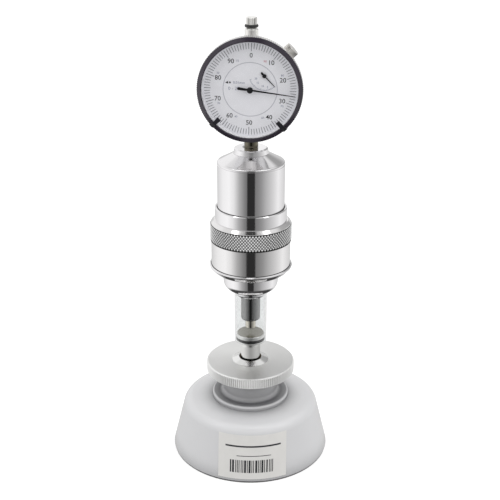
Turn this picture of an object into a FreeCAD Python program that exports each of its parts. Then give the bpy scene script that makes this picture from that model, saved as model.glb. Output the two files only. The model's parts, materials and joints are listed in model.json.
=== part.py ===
import FreeCAD, Part
import math
import os
from FreeCAD import Vector

os.makedirs("parts", exist_ok=True)

# A pointer-type hardness tester for grain. All sizes are in millimetres.
# The origin is at the middle of the foot, Z is up and the dial faces -Y.

# Fits
RUN_FIT = 0.05          # radial gap of a piece that turns or slides in a bore
SEAT_FIT = 0.03         # radial gap of a piece seated in another piece
THRUST_GAP = 0.1        # axial gap at a face that carries a turning or sliding piece
FREE_GAP = 0.3          # gap between pieces that move past each other
BLANK = 0.2             # stock left on a rim before its ridges are cut
SMALL_EDGE = 0.7        # edges broken by less than this are bevelled, not rounded

# Base
BASE_FOOT_R = 48.8      # side of the base, carried down to the ground
BASE_TAPER = 0.242      # radius lost per millimetre of height
BASE_SHOULDER_Z = 33.2
BASE_SHOULDER_ROUND = 6.5
BASE_CROWN = 0.092      # rise of the top per millimetre inwards
BASE_WALL = 3.2
PLINTH_W = 7.2          # plinth left round the housing
PLINTH_H = 2.6
PLINTH_ROUND = 1.3
HOUSING_WALL = 2.9      # round housing that the wheel's hub turns in
HOUSING_FILLET = 2.5
SHELF_RISE = 4.4        # shelf for the washer above the foot of the plinth
HOUSING_SINK = 1.0      # depth of the plinth's seat in the top of the base
TOWER_WALL = 4.85       # wall round the post's bush
TOWER_FOOT_Z = 11.0
SOCKET_WALL = 2.4       # socket inside the base that holds the tower upright
SOCKET_DEPTH = 6.0
RIB_T = 2.4
RIB_COUNT = 4
HOUSING_SCREW_OUT = 2.8     # screw circle outside the housing's side
HOUSING_SCREW_R = 1.5
HOUSING_SCREW_HEAD_R = 2.7
HOUSING_SCREW_HEAD_H = 1.8
HOUSING_SCREW_BITE = 2.6    # thread in the plinth
FOOT_PAD_T = 1.0
FOOT_PAD_INSET = 0.6
FOOT_PAD_W = 9.0
PLATE_T = 3.4
PLATE_INSET = 2.6       # bottom plate inside the foot of the base
PLATE_SCREW_INSET = 15.8    # screw circle inside the foot of the base
PLATE_SCREW_L = 13.0
BOSS_R = 4.2
SCREW_R = 2.0
SCREW_HEAD_R = 3.8
BUSH_WALL = 2.4
KEY_R = 1.5
KEYWAY_DEPTH = 2.0
WASHER_T = 1.6

# Handwheel and its nut
WHEEL_R = 27.1
WHEEL_RIM_H = 6.7
WHEEL_BEVEL = 0.9
FLUTE_COUNT = 128
FLUTE_DEPTH = 0.42
HUB_LIP = 0.8           # hub left round the nut's flange
HUB_H = 10.8
WHEEL_BOSS_W = 4.05     # cone round the eye
WHEEL_BOSS_H = 2.0
WHEEL_EYE_GAP = 1.05    # round the post where it passes through the wheel
NUT_WALL = 2.5          # nut's radius over the post's
NUT_FLANGE_W = 4.2
NUT_FLANGE_T = 2.2
NUT_TOP_GAP = 3.4       # wheel left above the nut
NUT_NECK_WALL = 2.7
NUT_NECK_L = 6.0
NUT_THREAD_L = 10.5
NUT_THREAD_DROP = 1.0   # thread below the nut's top
NUT_CHAMFER = 0.8
NUT_SCREW_COUNT = 3
NUT_SCREW_R = 0.9
NUT_SCREW_HEAD_R = 1.7
NUT_SCREW_HEAD_H = 1.0
NUT_SCREW_BITE = 3.8     # thread in the wheel
RETAINER_T = 1.0
RETAINER_BITE = 0.8     # depth of the retaining ring in the hub and in the housing
RETAINER_SPLIT = 3.0

# Post and platform
POST_R = 5.9
POST_RISE = 10.9        # underside of the platform above the wheel
POST_TRAVEL = 6.0       # each way
THREAD_DEPTH = 0.5      # from the post's side to the mean of its screw
PIN_SHOULDER = 2.4      # step from the post to the pin that carries the platform
PIN_L = 3.6
PLATFORM_LIP_STEP = 0.3
PLATFORM_LIP_T = 1.4
PLATFORM_HEAD_T = 2.1
GROOVE_DEPTH = 1.3
GROOVE_H = 2.2

# Guard tube, press rod and tip
TUBE_WALL = 0.9
SPIGOT_WALL = 1.25      # nose between the rod's bush and the tube
TUBE_SEAT = 4.2         # length of the tube held in the nose
TUBE_OVERLAP = 0.3      # tube end below the sealing ring
TIP_GAP = 3.7           # tip above the platform
TIP_R = 3.15
TIP_L = 5.6
TIP_STUD_R = 2.0
TIP_STUD_L = 6.0
ROD_R = 5.83
ROD_ROUND = 1.5
ROD_SHOW = 15.9         # rod below the nose
ROD_TRAVEL = 4.0
ROD_GUIDE_R = 4.0
ROD_REACH = 1.7         # rod's end above the adjuster's foot

# Nose, grip and barrel
NOSE_SPIGOT_L = 4.3
CUP_INSET = 7.9         # cup inside the flange
CUP_H = 11.0
FLANGE_W = 1.1          # flange outside the grip
FLANGE_H = 6.1
BARREL_R = 19.7
BARREL_WALL = 1.9
BARREL_L = 60.2
NOSE_PLUG_L = 8.8
ROD_BUSH_WALL = 1.8
ROD_BUSH_DROP = 1.5     # bush below the foot of the cup
GRIP_WALL = 3.8
GRIP_PLAIN_H = 15.4
KNURL_RAISE = 0.2
KNURL_H = 10.65
GRIP_BEVEL_H = 1.75
GRIP_TOP_WALL = 2.2
COLLAR_WALL = 1.5
COLLAR_H = 7.9
CAP_RIM_H = 1.3         # edge of the cap above the barrel, up to its groove
CAP_GROOVE_W = 0.5
CAP_GROOVE_DEPTH = 0.35
CAP_SHOULDER_H = 1.5    # side of the cap above its groove
CAP_SHOULDER_ROUND = 1.1
CONE_FOOT_INSET = 1.3
CONE_FOOT_RISE = 0.6
CONE_TOP_W = 6.3        # top of the cone outside the stem
CONE_H = 4.4
CAP_PLUG_L = 6.4
CLAMP_NUT_W = 6.2       # clamping nut outside the stem
CLAMP_NUT_H = 3.4
SEAT_INSET = 4.3        # spring seat inside the barrel's bore
SEAT_T = 3.6
SPRING_INSET = 3.2      # middle of the wire inside the spring seat's edge
SPRING_WIRE = 2.6
SPRING_TURNS = 5.0
ADJUSTER_T = 5.0
ADJUSTER_GAP = 0.7      # adjuster top below the cap's plug
SLOT_W = 2.2

# Dial indicator: depths are measured forward from the spindle
CASE_RISE = 9.65        # case above the clamping nut
CASE_R = 26.2
CASE_WALL = 1.6
CASE_BACK = -6.0
CASE_LIP_T = 1.1
CASE_LIP_W = 1.4
COVER_T = 2.0
COVER_INSET = 1.4
COVER_SCREW_R = 1.0
COVER_SCREW_HEAD_R = 1.8
COVER_SCREW_HEAD_H = 0.9
COVER_SCREW_INSET = 4.8
COVER_SCREW_COUNT = 4
COVER_SCREW_ANGLE = 45.0
LUG_R = 3.0
STEM_WALL = 1.5
STEM_INTO_CASE = 0.4    # stem past the case's wall
STEM_FOOT_GAP = 2.2     # stem end above the raised press rod
CASE_BOSS_WALL = 1.6
CASE_BOSS_L = 1.8
BUSHING_WALL = 1.3
BUSHING_INTO_CASE = 0.5     # bushing past the case's wall
BUSHING_RISE = 5.1      # bushing above the case
SPINDLE_R = 2.5
SPINDLE_NECK_STEP = 1.0
SPINDLE_NECK_DROP = 0.6     # neck's foot below the top of the bushing
STOP_RING_R = 3.8
STOP_RING_T = 1.6
STOP_RING_GAP = 0.7
CAP_R = 3.2
CAP_H = 3.9
CAP_ROOF = 1.0          # cap above the spindle's end
CAP_RIDGE_COUNT = 20
CONTACT_R = 1.6
CONTACT_L = 2.2
BEZEL_OVER = 3.1        # bezel outside the case
BEZEL_RIM_T = 5.4       # length of the ridged rim
BEZEL_RIDGE_COUNT = 156
RIDGE_DEPTH = 0.3
BEZEL_FRAME_W = 2.8     # black ring seen round the dial
BEZEL_SLOPE_H = 1.7
LIP_T = 0.85
BEZEL_WALL = 1.9
CRYSTAL_T = 1.2
DIAL_STAND = 1.5        # dial's face in front of the case
DIAL_T = 0.4
INNER_DIAL_R = 14.9
DIAL_SPLIT = 0.2
DIAL_FOOT_R = 0.6
DIAL_FOOT_INSET = 2.5
DIAL_FOOT_ANGLES = (199, 288)
PLATE_THIN = 0.8
BACK_PLATE_GAP = 0.7    # behind the spindle
BACK_PLATE_DROP = 6.0   # lower edge of the back plate below the dial's centre
BRIDGE_WINDOW_R = 5.0
BRIDGE_WINDOW_INSET = 5.5
BRIDGE_WINDOW_ANGLE = 214
PILLAR_R = 1.3
PILLAR_INSET = 5.6
PLATE_EDGE = 1.8        # plates outside the pillars' circle
PILLAR_ANGLES = (25, 150, 225)

# Movement: pinions and wheels are drawn at their pitch circles
RACK_PITCH = 0.625
FIRST_PINION_TEETH = 16
WHEEL_TEETH = 100
CENTRE_PINION_TEETH = 10
WHEEL_TO_WALL = 3.6     # large wheels inside the case's wall
RACK_LINE = 1.2         # pitch line of the rack beside the spindle's middle
PITCH_GAP = 0.04        # each pitch disc stops short of the pitch circle by this
ARBOR_R = 0.5
WHEEL_T = 0.5
TRAIN_GAP = 0.8         # large wheels in front of the bridge
SMALL_GEAR_GAP = 1.0    # small hand's gears in front of the large wheels
FRONT_PLATE_GAP = 2.0   # front plate in front of the small hand's gears
FIRST_PINION_L = 4.4
COLLET_R = 1.1
PINION_END = 0.3        # end of the centre pinion past its wheel
HAIRSPRING_W = 0.7
HAIRSPRING_T = 0.16
HAIRSPRING_PITCH = 0.7
HAIRSPRING_HALF_COUNT = 8

# Hands
HAND_TIP_GAP = 1.5      # hand's tip inside the bezel's opening
HAND_TAIL = 7.1
HAND_T = 0.25
HAND_GAP = 0.2          # large hand over the small hand's hub
HAND_HUB_R = 1.7
HAND_HUB_H = 0.65       # hub in front of the hand
CRYSTAL_GAP = 0.55      # crystal in front of the hub
HAND_ROOT_W = 1.05
HAND_TAIL_W = 1.65
HAND_TIP_W = 0.3
HAND_ANGLE = 97.6       # clockwise from the top
SMALL_HAND_L = 8.4
SMALL_HAND_TAIL = 2.6
SMALL_HAND_GAP = 0.5    # small hand over the dial
SMALL_HUB_R = 1.15
SMALL_HUB_H = 0.55
SMALL_ROOT_W = 0.65
SMALL_TAIL_W = 1.3
SMALL_HAND_ANGLE = 136.0

# Clips and lock on the bezel
MARKER_W = 2.4
MARKER_T = 0.7
MARKER_LEG_T = 0.3      # leg that clips over the bezel's rim
MARKER_LEG_L = 1.8
MARKER_SHOW = 3.8       # clip seen inside the bezel's opening
MARKER_ANGLES = {"limit_marker_right": 137.6, "limit_marker_left": 227.0}
LOCK_ANGLE = 47.0
LOCK_BEHIND = 0.5       # knob behind the bezel's rim
LOCK_R = 4.0
LOCK_T = 3.5
LOCK_RIDGE_COUNT = 28
LOCK_STAND = 5.4        # outer face of the knob outside the case
LOCK_BOSS_R = 2.9
LOCK_NECK_R = 2.2
LOCK_NECK_L = 1.1
LOCK_SCREW_R = 1.25

# Radii that follow from the sizes above
FOOT_PAD_R = BASE_FOOT_R - FOOT_PAD_INSET
PLATE_R = BASE_FOOT_R - PLATE_INSET
PLATE_SCREW_CIRCLE = BASE_FOOT_R - PLATE_SCREW_INSET
THREAD_R = POST_R - THREAD_DEPTH
PIN_R = POST_R - PIN_SHOULDER
BUSH_R = POST_R + RUN_FIT + BUSH_WALL
TOWER_R = BUSH_R + TOWER_WALL
NUT_NECK_R = POST_R + NUT_NECK_WALL
NUT_R = POST_R + NUT_WALL
NUT_FLANGE_R = NUT_R + NUT_FLANGE_W
HUB_R = NUT_FLANGE_R + HUB_LIP
HOUSING_R = HUB_R + FREE_GAP + HOUSING_WALL
HOUSING_SCREW_CIRCLE = HOUSING_R + HOUSING_SCREW_OUT
PLINTH_R = HOUSING_R + PLINTH_W
WHEEL_EYE_R = POST_R + WHEEL_EYE_GAP
WHEEL_BOSS_R = WHEEL_EYE_R + WHEEL_BOSS_W
ROD_BUSH_R = ROD_R + RUN_FIT + ROD_BUSH_WALL
TUBE_BORE_R = ROD_BUSH_R + SPIGOT_WALL
TUBE_R = TUBE_BORE_R + TUBE_WALL
PLATFORM_R = TUBE_BORE_R - FREE_GAP
PLATFORM_LIP_R = PLATFORM_R - PLATFORM_LIP_STEP
GROOVE_R = PLATFORM_R - GROOVE_DEPTH
GRIP_R = BARREL_R + GRIP_WALL
GRIP_TOP_R = BARREL_R + GRIP_TOP_WALL
KNURL_R = GRIP_R + KNURL_RAISE
FLANGE_R = GRIP_R + FLANGE_W
CUP_R = FLANGE_R - CUP_INSET
COLLAR_R = BARREL_R + COLLAR_WALL
CONE_FOOT_R = BARREL_R - CONE_FOOT_INSET
STEM_R = SPINDLE_R + STEM_WALL
CONE_TOP_R = STEM_R + CONE_TOP_W
CLAMP_NUT_R = STEM_R + CLAMP_NUT_W
BARREL_BORE_R = BARREL_R - BARREL_WALL
SEAT_R = BARREL_BORE_R - SEAT_INSET
SPRING_R = SEAT_R - SPRING_INSET
CASE_BOSS_R = STEM_R + CASE_BOSS_WALL
BUSHING_R = SPINDLE_R + BUSHING_WALL
SPINDLE_NECK_R = SPINDLE_R - SPINDLE_NECK_STEP
COVER_R = CASE_R - COVER_INSET
COVER_SCREW_CIRCLE = CASE_R - COVER_SCREW_INSET
BEZEL_R = CASE_R + BEZEL_OVER
BEZEL_OPEN_R = BEZEL_R - BEZEL_FRAME_W
CRYSTAL_R = BEZEL_R - BEZEL_WALL
PILLAR_CIRCLE = CASE_R - PILLAR_INSET
MARKER_REACH = BEZEL_OPEN_R - MARKER_SHOW
HAND_L = BEZEL_OPEN_R - HAND_TIP_GAP
LOCK_FACE = CASE_R + LOCK_STAND

# Heights that follow from the sizes above
PLINTH_FOOT = BASE_SHOULDER_Z + BASE_CROWN * (BASE_FOOT_R - BASE_TAPER * BASE_SHOULDER_Z - PLINTH_R)
HOUSING_FOOT = PLINTH_FOOT - HOUSING_SINK
BASE_ROOF_Z = BASE_SHOULDER_Z - BASE_WALL
SHELF_Z = PLINTH_FOOT + SHELF_RISE
NUT_FOOT = SHELF_Z + WASHER_T + THRUST_GAP
HUB_FOOT = NUT_FOOT + FREE_GAP
RIM_FOOT = HUB_FOOT + HUB_H
RETAINER_Z = HUB_FOOT + HUB_H / 2
RIM_TOP = RIM_FOOT + WHEEL_RIM_H
WHEEL_TOP = RIM_TOP + WHEEL_BOSS_H
NUT_TOP = WHEEL_TOP - WHEEL_BOSS_H - NUT_TOP_GAP
NUT_THREAD_TOP = NUT_TOP - NUT_THREAD_DROP
NUT_THREAD_FOOT = NUT_THREAD_TOP - NUT_THREAD_L
PLATFORM_FOOT = WHEEL_TOP + POST_RISE
RING_FOOT = PLATFORM_FOOT + PLATFORM_LIP_T
RING_TOP = RING_FOOT + GROOVE_H
PLATFORM_TOP = RING_TOP + PLATFORM_HEAD_T
PLATE_TOP = FOOT_PAD_T + PLATE_T
POST_FOOT = PLATE_TOP + POST_TRAVEL + FREE_GAP
BUSH_TOP = SHELF_Z - NUT_NECK_L + THRUST_GAP
KEY_Z = (TOWER_FOOT_Z + BUSH_TOP) / 2
TIP_FOOT = PLATFORM_TOP + TIP_GAP
ROD_FOOT = TIP_FOOT + TIP_L
NOSE_FOOT = ROD_FOOT + ROD_SHOW
CUP_FOOT = NOSE_FOOT + NOSE_SPIGOT_L
ROD_BUSH_FOOT = CUP_FOOT - ROD_BUSH_DROP
CUP_TOP = CUP_FOOT + CUP_H
FLANGE_TOP = CUP_TOP + FLANGE_H
NOSE_TOP = FLANGE_TOP + NOSE_PLUG_L
GRIP_TOP = FLANGE_TOP + GRIP_PLAIN_H + KNURL_H + GRIP_BEVEL_H
BARREL_TOP = FLANGE_TOP + BARREL_L
CAP_EDGE = BARREL_TOP + CAP_RIM_H
CAP_SHOULDER = CAP_EDGE + CAP_SHOULDER_H
CONE_FOOT = CAP_SHOULDER + CONE_FOOT_RISE
CONE_TOP = CONE_FOOT + CONE_H
CLAMP_NUT_TOP = CONE_TOP + CLAMP_NUT_H
ADJUSTER_TOP = BARREL_TOP - CAP_PLUG_L - ADJUSTER_GAP
ADJUSTER_FOOT = ADJUSTER_TOP - ADJUSTER_T
SEAT_TOP = NOSE_TOP + THRUST_GAP + SEAT_T
ROD_TOP = ADJUSTER_FOOT + ROD_REACH
DIAL_Z = CLAMP_NUT_TOP + CASE_RISE + CASE_R
STEM_FOOT = ROD_TOP + ROD_TRAVEL + STEM_FOOT_GAP
STEM_TOP = DIAL_Z - CASE_R + CASE_WALL + STEM_INTO_CASE
BUSHING_TOP = DIAL_Z + CASE_R + BUSHING_RISE
STOP_RING_FOOT = BUSHING_TOP + STOP_RING_GAP
CAP_FOOT = STOP_RING_FOOT + STOP_RING_T
CAP_TOP = CAP_FOOT + CAP_H
CONTACT_FOOT = ROD_TOP + THRUST_GAP

# Depths in the dial and places in its movement
BACK_PLATE = -SPINDLE_R - BACK_PLATE_GAP
BRIDGE_FRONT = SPINDLE_R + FREE_GAP + PLATE_THIN
TRAIN_LAYER = BRIDGE_FRONT + TRAIN_GAP
SMALL_GEAR_LAYER = TRAIN_LAYER + WHEEL_T + SMALL_GEAR_GAP
FRONT_PLATE = SMALL_GEAR_LAYER + WHEEL_T + FRONT_PLATE_GAP
CASE_FRONT = FRONT_PLATE + CASE_LIP_T
DIAL_FACE = CASE_FRONT + DIAL_STAND
SMALL_HAND_LAYER = DIAL_FACE + SMALL_HAND_GAP
HAND_LAYER = SMALL_HAND_LAYER + HAND_T + SMALL_HUB_H + HAND_GAP
HUB_FRONT = HAND_LAYER + HAND_T + HAND_HUB_H
BEZEL_FRONT = HUB_FRONT + CRYSTAL_GAP + CRYSTAL_T + LIP_T
BEZEL_BACK = BEZEL_FRONT - BEZEL_SLOPE_H - BEZEL_RIM_T
LOCK_DEPTH = BEZEL_BACK - LOCK_BEHIND - LOCK_R
LUG_H = BACK_PLATE - PLATE_THIN - FREE_GAP - CASE_BACK
FIRST_PINION_R = RACK_PITCH * FIRST_PINION_TEETH / (2 * math.pi)
WHEEL_PITCH_R = (CASE_R - CASE_WALL - WHEEL_TO_WALL) / (2 + CENTRE_PINION_TEETH / WHEEL_TEETH)
CENTRE_PINION_R = WHEEL_PITCH_R * CENTRE_PINION_TEETH / WHEEL_TEETH
TRAIN_DISTANCE = WHEEL_PITCH_R + CENTRE_PINION_R
FIRST_X = -(RACK_LINE + FIRST_PINION_R)
FIRST_Z = math.sqrt(TRAIN_DISTANCE ** 2 - FIRST_X ** 2)
SMALL_PIVOT = TRAIN_DISTANCE * math.sin(math.radians(45))
SMALL_GEAR_R = math.hypot(SMALL_PIVOT - FIRST_X, SMALL_PIVOT - FIRST_Z) / 2
TAKEUP_X, TAKEUP_Z = SMALL_PIVOT, -SMALL_PIVOT


def outline(corners):
    """Closed wire in the XZ plane through (x, z), or (x, z, size) where a corner is broken.

    A size below SMALL_EDGE makes a bevel and a larger one a tangent arc of that radius.
    """
    points = [Vector(corner[0], 0, corner[1]) for corner in corners]
    starts, ends, arcs = [], [], []
    for i, corner in enumerate(corners):
        here, before, after = points[i], points[i - 1], points[(i + 1) % len(points)]
        size = corner[2] if len(corner) > 2 else 0
        back, ahead = (before - here).normalize(), (after - here).normalize()
        half = back.getAngle(ahead) / 2
        reach = 0.7 * size if size < SMALL_EDGE else size / math.tan(half)
        starts.append(here + back * reach)
        ends.append(here + ahead * reach)
        if size == 0:
            arcs.append(None)
        elif size < SMALL_EDGE:
            arcs.append(Part.LineSegment(starts[i], ends[i]).toShape())
        else:
            middle = here + (back + ahead).normalize() * (size / math.sin(half) - size)
            arcs.append(Part.Arc(starts[i], middle, ends[i]).toShape())
    edges = []
    for i, arc in enumerate(arcs):
        if arc:
            edges.append(arc)
        following = starts[(i + 1) % len(starts)]
        if ends[i].distanceToPoint(following) > 1e-6:
            edges.append(Part.LineSegment(ends[i], following).toShape())
    return Part.Wire(edges)


def turned(corners):
    """Solid turned about the Z axis from an outline of (radius, z) corners."""
    return Part.Face(outline(corners)).revolve(Vector(0, 0, 0), Vector(0, 0, 1), 360)


def rod(radius, low, high, x=0, y=0):
    return Part.makeCylinder(radius, high - low, Vector(x, y, low))


def ring(outer, inner, low, high, x=0, y=0):
    return rod(outer, low, high, x, y).cut(rod(inner, low - 1, high + 1, x, y))


def ridged(count, outer, depth, low, high):
    """Prism with V-shaped ridges all round, to be cut with a turned form."""
    points = []
    for i in range(2 * count):
        radius = outer if i % 2 == 0 else outer - depth
        angle = math.pi * i / count
        points.append(Vector(radius * math.cos(angle), radius * math.sin(angle), low))
    face = Part.Face(Part.makePolygon(points + points[:1]))
    return face.extrude(Vector(0, 0, high - low))


def around(shape, count, start=0):
    """Copies of a shape spaced evenly about the Z axis."""
    copies = []
    for i in range(count):
        copy = shape.copy()
        copy.rotate(Vector(0, 0, 0), Vector(0, 0, 1), start + 360 * i / count)
        copies.append(copy)
    return copies


def radial_pin(radius, inner, outer, z, angle=90):
    """Round pin along a radius at height z, at an angle from +X."""
    pin = Part.makeCylinder(radius, outer - inner, Vector(inner, 0, z), Vector(1, 0, 0))
    pin.rotate(Vector(0, 0, 0), Vector(0, 0, 1), angle)
    return pin


def to_dial(shape):
    """Stand a shape drawn flat, with depth along Z, upright at the dial's centre."""
    stood = shape.copy()
    stood.rotate(Vector(0, 0, 0), Vector(1, 0, 0), 90)
    stood.translate(Vector(0, 0, DIAL_Z))
    return stood


def clockwise(shape, degrees):
    """Turn a flat dial shape that points to the top through an angle read on the dial."""
    turned_shape = shape.copy()
    turned_shape.rotate(Vector(0, 0, 0), Vector(0, 0, 1), -degrees)
    return turned_shape


def side_r(z):
    """Outer radius of the base's side at height z."""
    return BASE_FOOT_R - BASE_TAPER * z


def countersunk(radius, head_r, low, length, x=0, y=0):
    """Screw with a flush conical head at its lower end and a cross cut in it."""
    head = Part.makeCone(head_r, radius, head_r - radius, Vector(x, y, low))
    screw = head.fuse(rod(radius, low + head_r - radius, low + length, x, y))
    for turn in (0, 90):
        slot = Part.makeBox(head_r * 1.2, 0.8, 0.9, Vector(-head_r * 0.6, -0.4, 0))
        slot.rotate(Vector(0, 0, 0), Vector(0, 0, 1), turn)
        slot.translate(Vector(x, y, low - 0.1))
        screw = screw.cut(slot)
    return screw


def plate_screw(gap=0.0):
    """One screw that holds the bottom plate, or the room for it when a gap is given."""
    if gap == 0:
        return countersunk(SCREW_R, SCREW_HEAD_R, FOOT_PAD_T, PLATE_SCREW_L, PLATE_SCREW_CIRCLE)
    head = Part.makeCone(SCREW_HEAD_R + gap, SCREW_R + gap, SCREW_HEAD_R - SCREW_R,
                         Vector(PLATE_SCREW_CIRCLE, 0, FOOT_PAD_T))
    return head.fuse(rod(SCREW_R + gap, FOOT_PAD_T, FOOT_PAD_T + PLATE_SCREW_L + gap, PLATE_SCREW_CIRCLE))


def base_shell():
    """Cast cone with a crowned top, and the socket, ribs and screw bosses inside it."""
    rebate_r = PLATE_R + SEAT_FIT
    socket_foot = BASE_ROOF_Z - SOCKET_DEPTH
    socket_r = TOWER_R + SOCKET_WALL
    seat_r = PLINTH_R + SEAT_FIT
    shell = turned([
        (side_r(FOOT_PAD_T), FOOT_PAD_T, 0.4),
        (side_r(BASE_SHOULDER_Z), BASE_SHOULDER_Z, BASE_SHOULDER_ROUND),
        (seat_r, PLINTH_FOOT),
        (seat_r, HOUSING_FOOT),
        (TOWER_R + SEAT_FIT, HOUSING_FOOT),
        (TOWER_R + SEAT_FIT, socket_foot),
        (socket_r, socket_foot),
        (socket_r, BASE_ROOF_Z),
        (side_r(BASE_ROOF_Z) - BASE_WALL - 3, BASE_ROOF_Z),
        (side_r(BASE_ROOF_Z - 3) - BASE_WALL, BASE_ROOF_Z - 3),
        (side_r(PLATE_TOP) - BASE_WALL, PLATE_TOP),
        (rebate_r, PLATE_TOP),
        (rebate_r, FOOT_PAD_T),
    ])
    reach = side_r(BASE_SHOULDER_Z) - BASE_WALL / 2
    rib = Part.makeBox(reach - socket_r + 1, RIB_T, SOCKET_DEPTH + 1,
                       Vector(socket_r - 1, -RIB_T / 2, socket_foot))
    boss = rod(BOSS_R, PLATE_TOP, BASE_ROOF_Z + 0.5, PLATE_SCREW_CIRCLE)
    hole = rod(SCREW_R + SEAT_FIT, 0, FOOT_PAD_T + PLATE_SCREW_L + 1, PLATE_SCREW_CIRCLE)
    room = rod(HOUSING_SCREW_R + SEAT_FIT, BASE_ROOF_Z - 1, HOUSING_FOOT + 1, HOUSING_SCREW_CIRCLE)
    shell = shell.fuse(around(rib, RIB_COUNT) + around(boss, RIB_COUNT))
    return shell.cut(around(hole, RIB_COUNT) + around(room, RIB_COUNT, 45))


def housing():
    """Plinth and round housing under the wheel, with the tower that guides the post."""
    plinth_top = PLINTH_FOOT + PLINTH_H
    housing_top = RIM_FOOT - FREE_GAP
    bore = HUB_R + FREE_GAP
    groove = bore + RETAINER_BITE + SEAT_FIT
    groove_top = RETAINER_Z + RETAINER_T + THRUST_GAP
    body = turned([
        (PLINTH_R, HOUSING_FOOT),
        (PLINTH_R - 0.2, plinth_top, PLINTH_ROUND),
        (HOUSING_R, plinth_top, HOUSING_FILLET),
        (HOUSING_R, housing_top, 0.4),
        (bore, housing_top),
        (bore, groove_top),
        (groove, groove_top),
        (groove, RETAINER_Z),
        (bore, RETAINER_Z),
        (bore, SHELF_Z),
        (NUT_NECK_R + RUN_FIT, SHELF_Z),
        (NUT_NECK_R + RUN_FIT, BUSH_TOP),
        (BUSH_R + SEAT_FIT, BUSH_TOP),
        (BUSH_R + SEAT_FIT, TOWER_FOOT_Z),
        (TOWER_R, TOWER_FOOT_Z),
        (TOWER_R, HOUSING_FOOT),
    ])
    hole = rod(HOUSING_SCREW_R, HOUSING_FOOT - 1, HOUSING_FOOT + HOUSING_SCREW_BITE, HOUSING_SCREW_CIRCLE)
    body = body.cut(around(hole, RIB_COUNT, 45))
    return body.cut(radial_pin(KEY_R + SEAT_FIT, BUSH_R - 1, TOWER_R + 1, KEY_Z))


def housing_screws():
    """Screws put in from inside the base, up into the plinth."""
    seat = BASE_ROOF_Z
    screw = rod(HOUSING_SCREW_R, seat, HOUSING_FOOT + HOUSING_SCREW_BITE, HOUSING_SCREW_CIRCLE)
    head = rod(HOUSING_SCREW_HEAD_R, seat - HOUSING_SCREW_HEAD_H, seat, HOUSING_SCREW_CIRCLE)
    socket = rod(HOUSING_SCREW_HEAD_R / 2, seat - HOUSING_SCREW_HEAD_H - 1, seat - HOUSING_SCREW_HEAD_H / 2,
                 HOUSING_SCREW_CIRCLE)
    return Part.makeCompound(around(screw.fuse(head).cut(socket), RIB_COUNT, 45))


def retaining_ring():
    """Split ring in the housing's groove that keeps the wheel's hub down."""
    outer = HUB_R + FREE_GAP + RETAINER_BITE
    whole = ring(outer, HUB_R - RETAINER_BITE, RETAINER_Z, RETAINER_Z + RETAINER_T)
    split = Part.makeBox(RETAINER_SPLIT, outer, RETAINER_T, Vector(-RETAINER_SPLIT / 2, 0, RETAINER_Z))
    return whole.cut(split)


def base_plate():
    plate = turned([(0, FOOT_PAD_T), (PLATE_R, FOOT_PAD_T), (PLATE_R, PLATE_TOP), (0, PLATE_TOP)])
    return plate.cut(around(plate_screw(SEAT_FIT), RIB_COUNT))


def foot_pad():
    inner = FOOT_PAD_R - FOOT_PAD_W
    return turned([(inner, 0, 0.4), (FOOT_PAD_R, 0, 0.4), (FOOT_PAD_R, FOOT_PAD_T), (inner, FOOT_PAD_T)])


def guide_bush():
    bush = ring(BUSH_R, POST_R + RUN_FIT, TOWER_FOOT_Z, BUSH_TOP)
    return bush.cut(radial_pin(KEY_R + SEAT_FIT, POST_R - 1, BUSH_R + 1, KEY_Z))


def keyway():
    """Slot along the back of the post; its ends are the stops of the travel."""
    half = POST_TRAVEL + KEY_R + FREE_GAP
    width = 2 * (KEY_R + RUN_FIT)
    return Part.makeBox(width, KEYWAY_DEPTH + 1, 2 * half,
                        Vector(-width / 2, POST_R - KEYWAY_DEPTH, KEY_Z - half))


def guide_key():
    return radial_pin(KEY_R, POST_R - KEYWAY_DEPTH + FREE_GAP, TOWER_R - 0.3, KEY_Z)


def thrust_washer():
    return ring(TOWER_R - 0.4, NUT_NECK_R + FREE_GAP, SHELF_Z, SHELF_Z + WASHER_T)


def handwheel():
    """Fluted rim, grooved hub below it and the polished cone round the eye above it."""
    nut_seat_r = NUT_R + SEAT_FIT
    flange_seat_r = NUT_FLANGE_R + SEAT_FIT
    flange_top = NUT_FOOT + NUT_FLANGE_T
    groove_r = HUB_R - RETAINER_BITE - RUN_FIT
    wheel = turned([
        (flange_seat_r, HUB_FOOT),
        (HUB_R, HUB_FOOT, 0.3),
        (HUB_R, RETAINER_Z - FREE_GAP),
        (groove_r, RETAINER_Z - FREE_GAP),
        (groove_r, RETAINER_Z + RETAINER_T + FREE_GAP),
        (HUB_R, RETAINER_Z + RETAINER_T + FREE_GAP),
        (HUB_R, RIM_FOOT),
        (WHEEL_R - 0.5, RIM_FOOT),
        (WHEEL_R + BLANK, RIM_FOOT + 0.5 + BLANK),
        (WHEEL_R + BLANK, RIM_TOP - WHEEL_BEVEL - BLANK),
        (WHEEL_R - WHEEL_BEVEL, RIM_TOP),
        (WHEEL_BOSS_R, RIM_TOP, 0.3),
        (WHEEL_EYE_R, WHEEL_TOP, 0.3),
        (WHEEL_EYE_R, NUT_TOP),
        (nut_seat_r, NUT_TOP),
        (nut_seat_r, flange_top),
        (flange_seat_r, flange_top),
    ])
    wheel = wheel.common(ridged(FLUTE_COUNT, WHEEL_R, FLUTE_DEPTH, HUB_FOOT - 1, WHEEL_TOP + 1))
    hole_top = flange_top + NUT_SCREW_BITE + THRUST_GAP
    hole = rod(NUT_SCREW_R + SEAT_FIT, flange_top - 1, hole_top, nut_screw_circle())
    return wheel.cut(around(hole, NUT_SCREW_COUNT))


def nut_screw_circle():
    return (NUT_R + NUT_FLANGE_R) / 2


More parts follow.
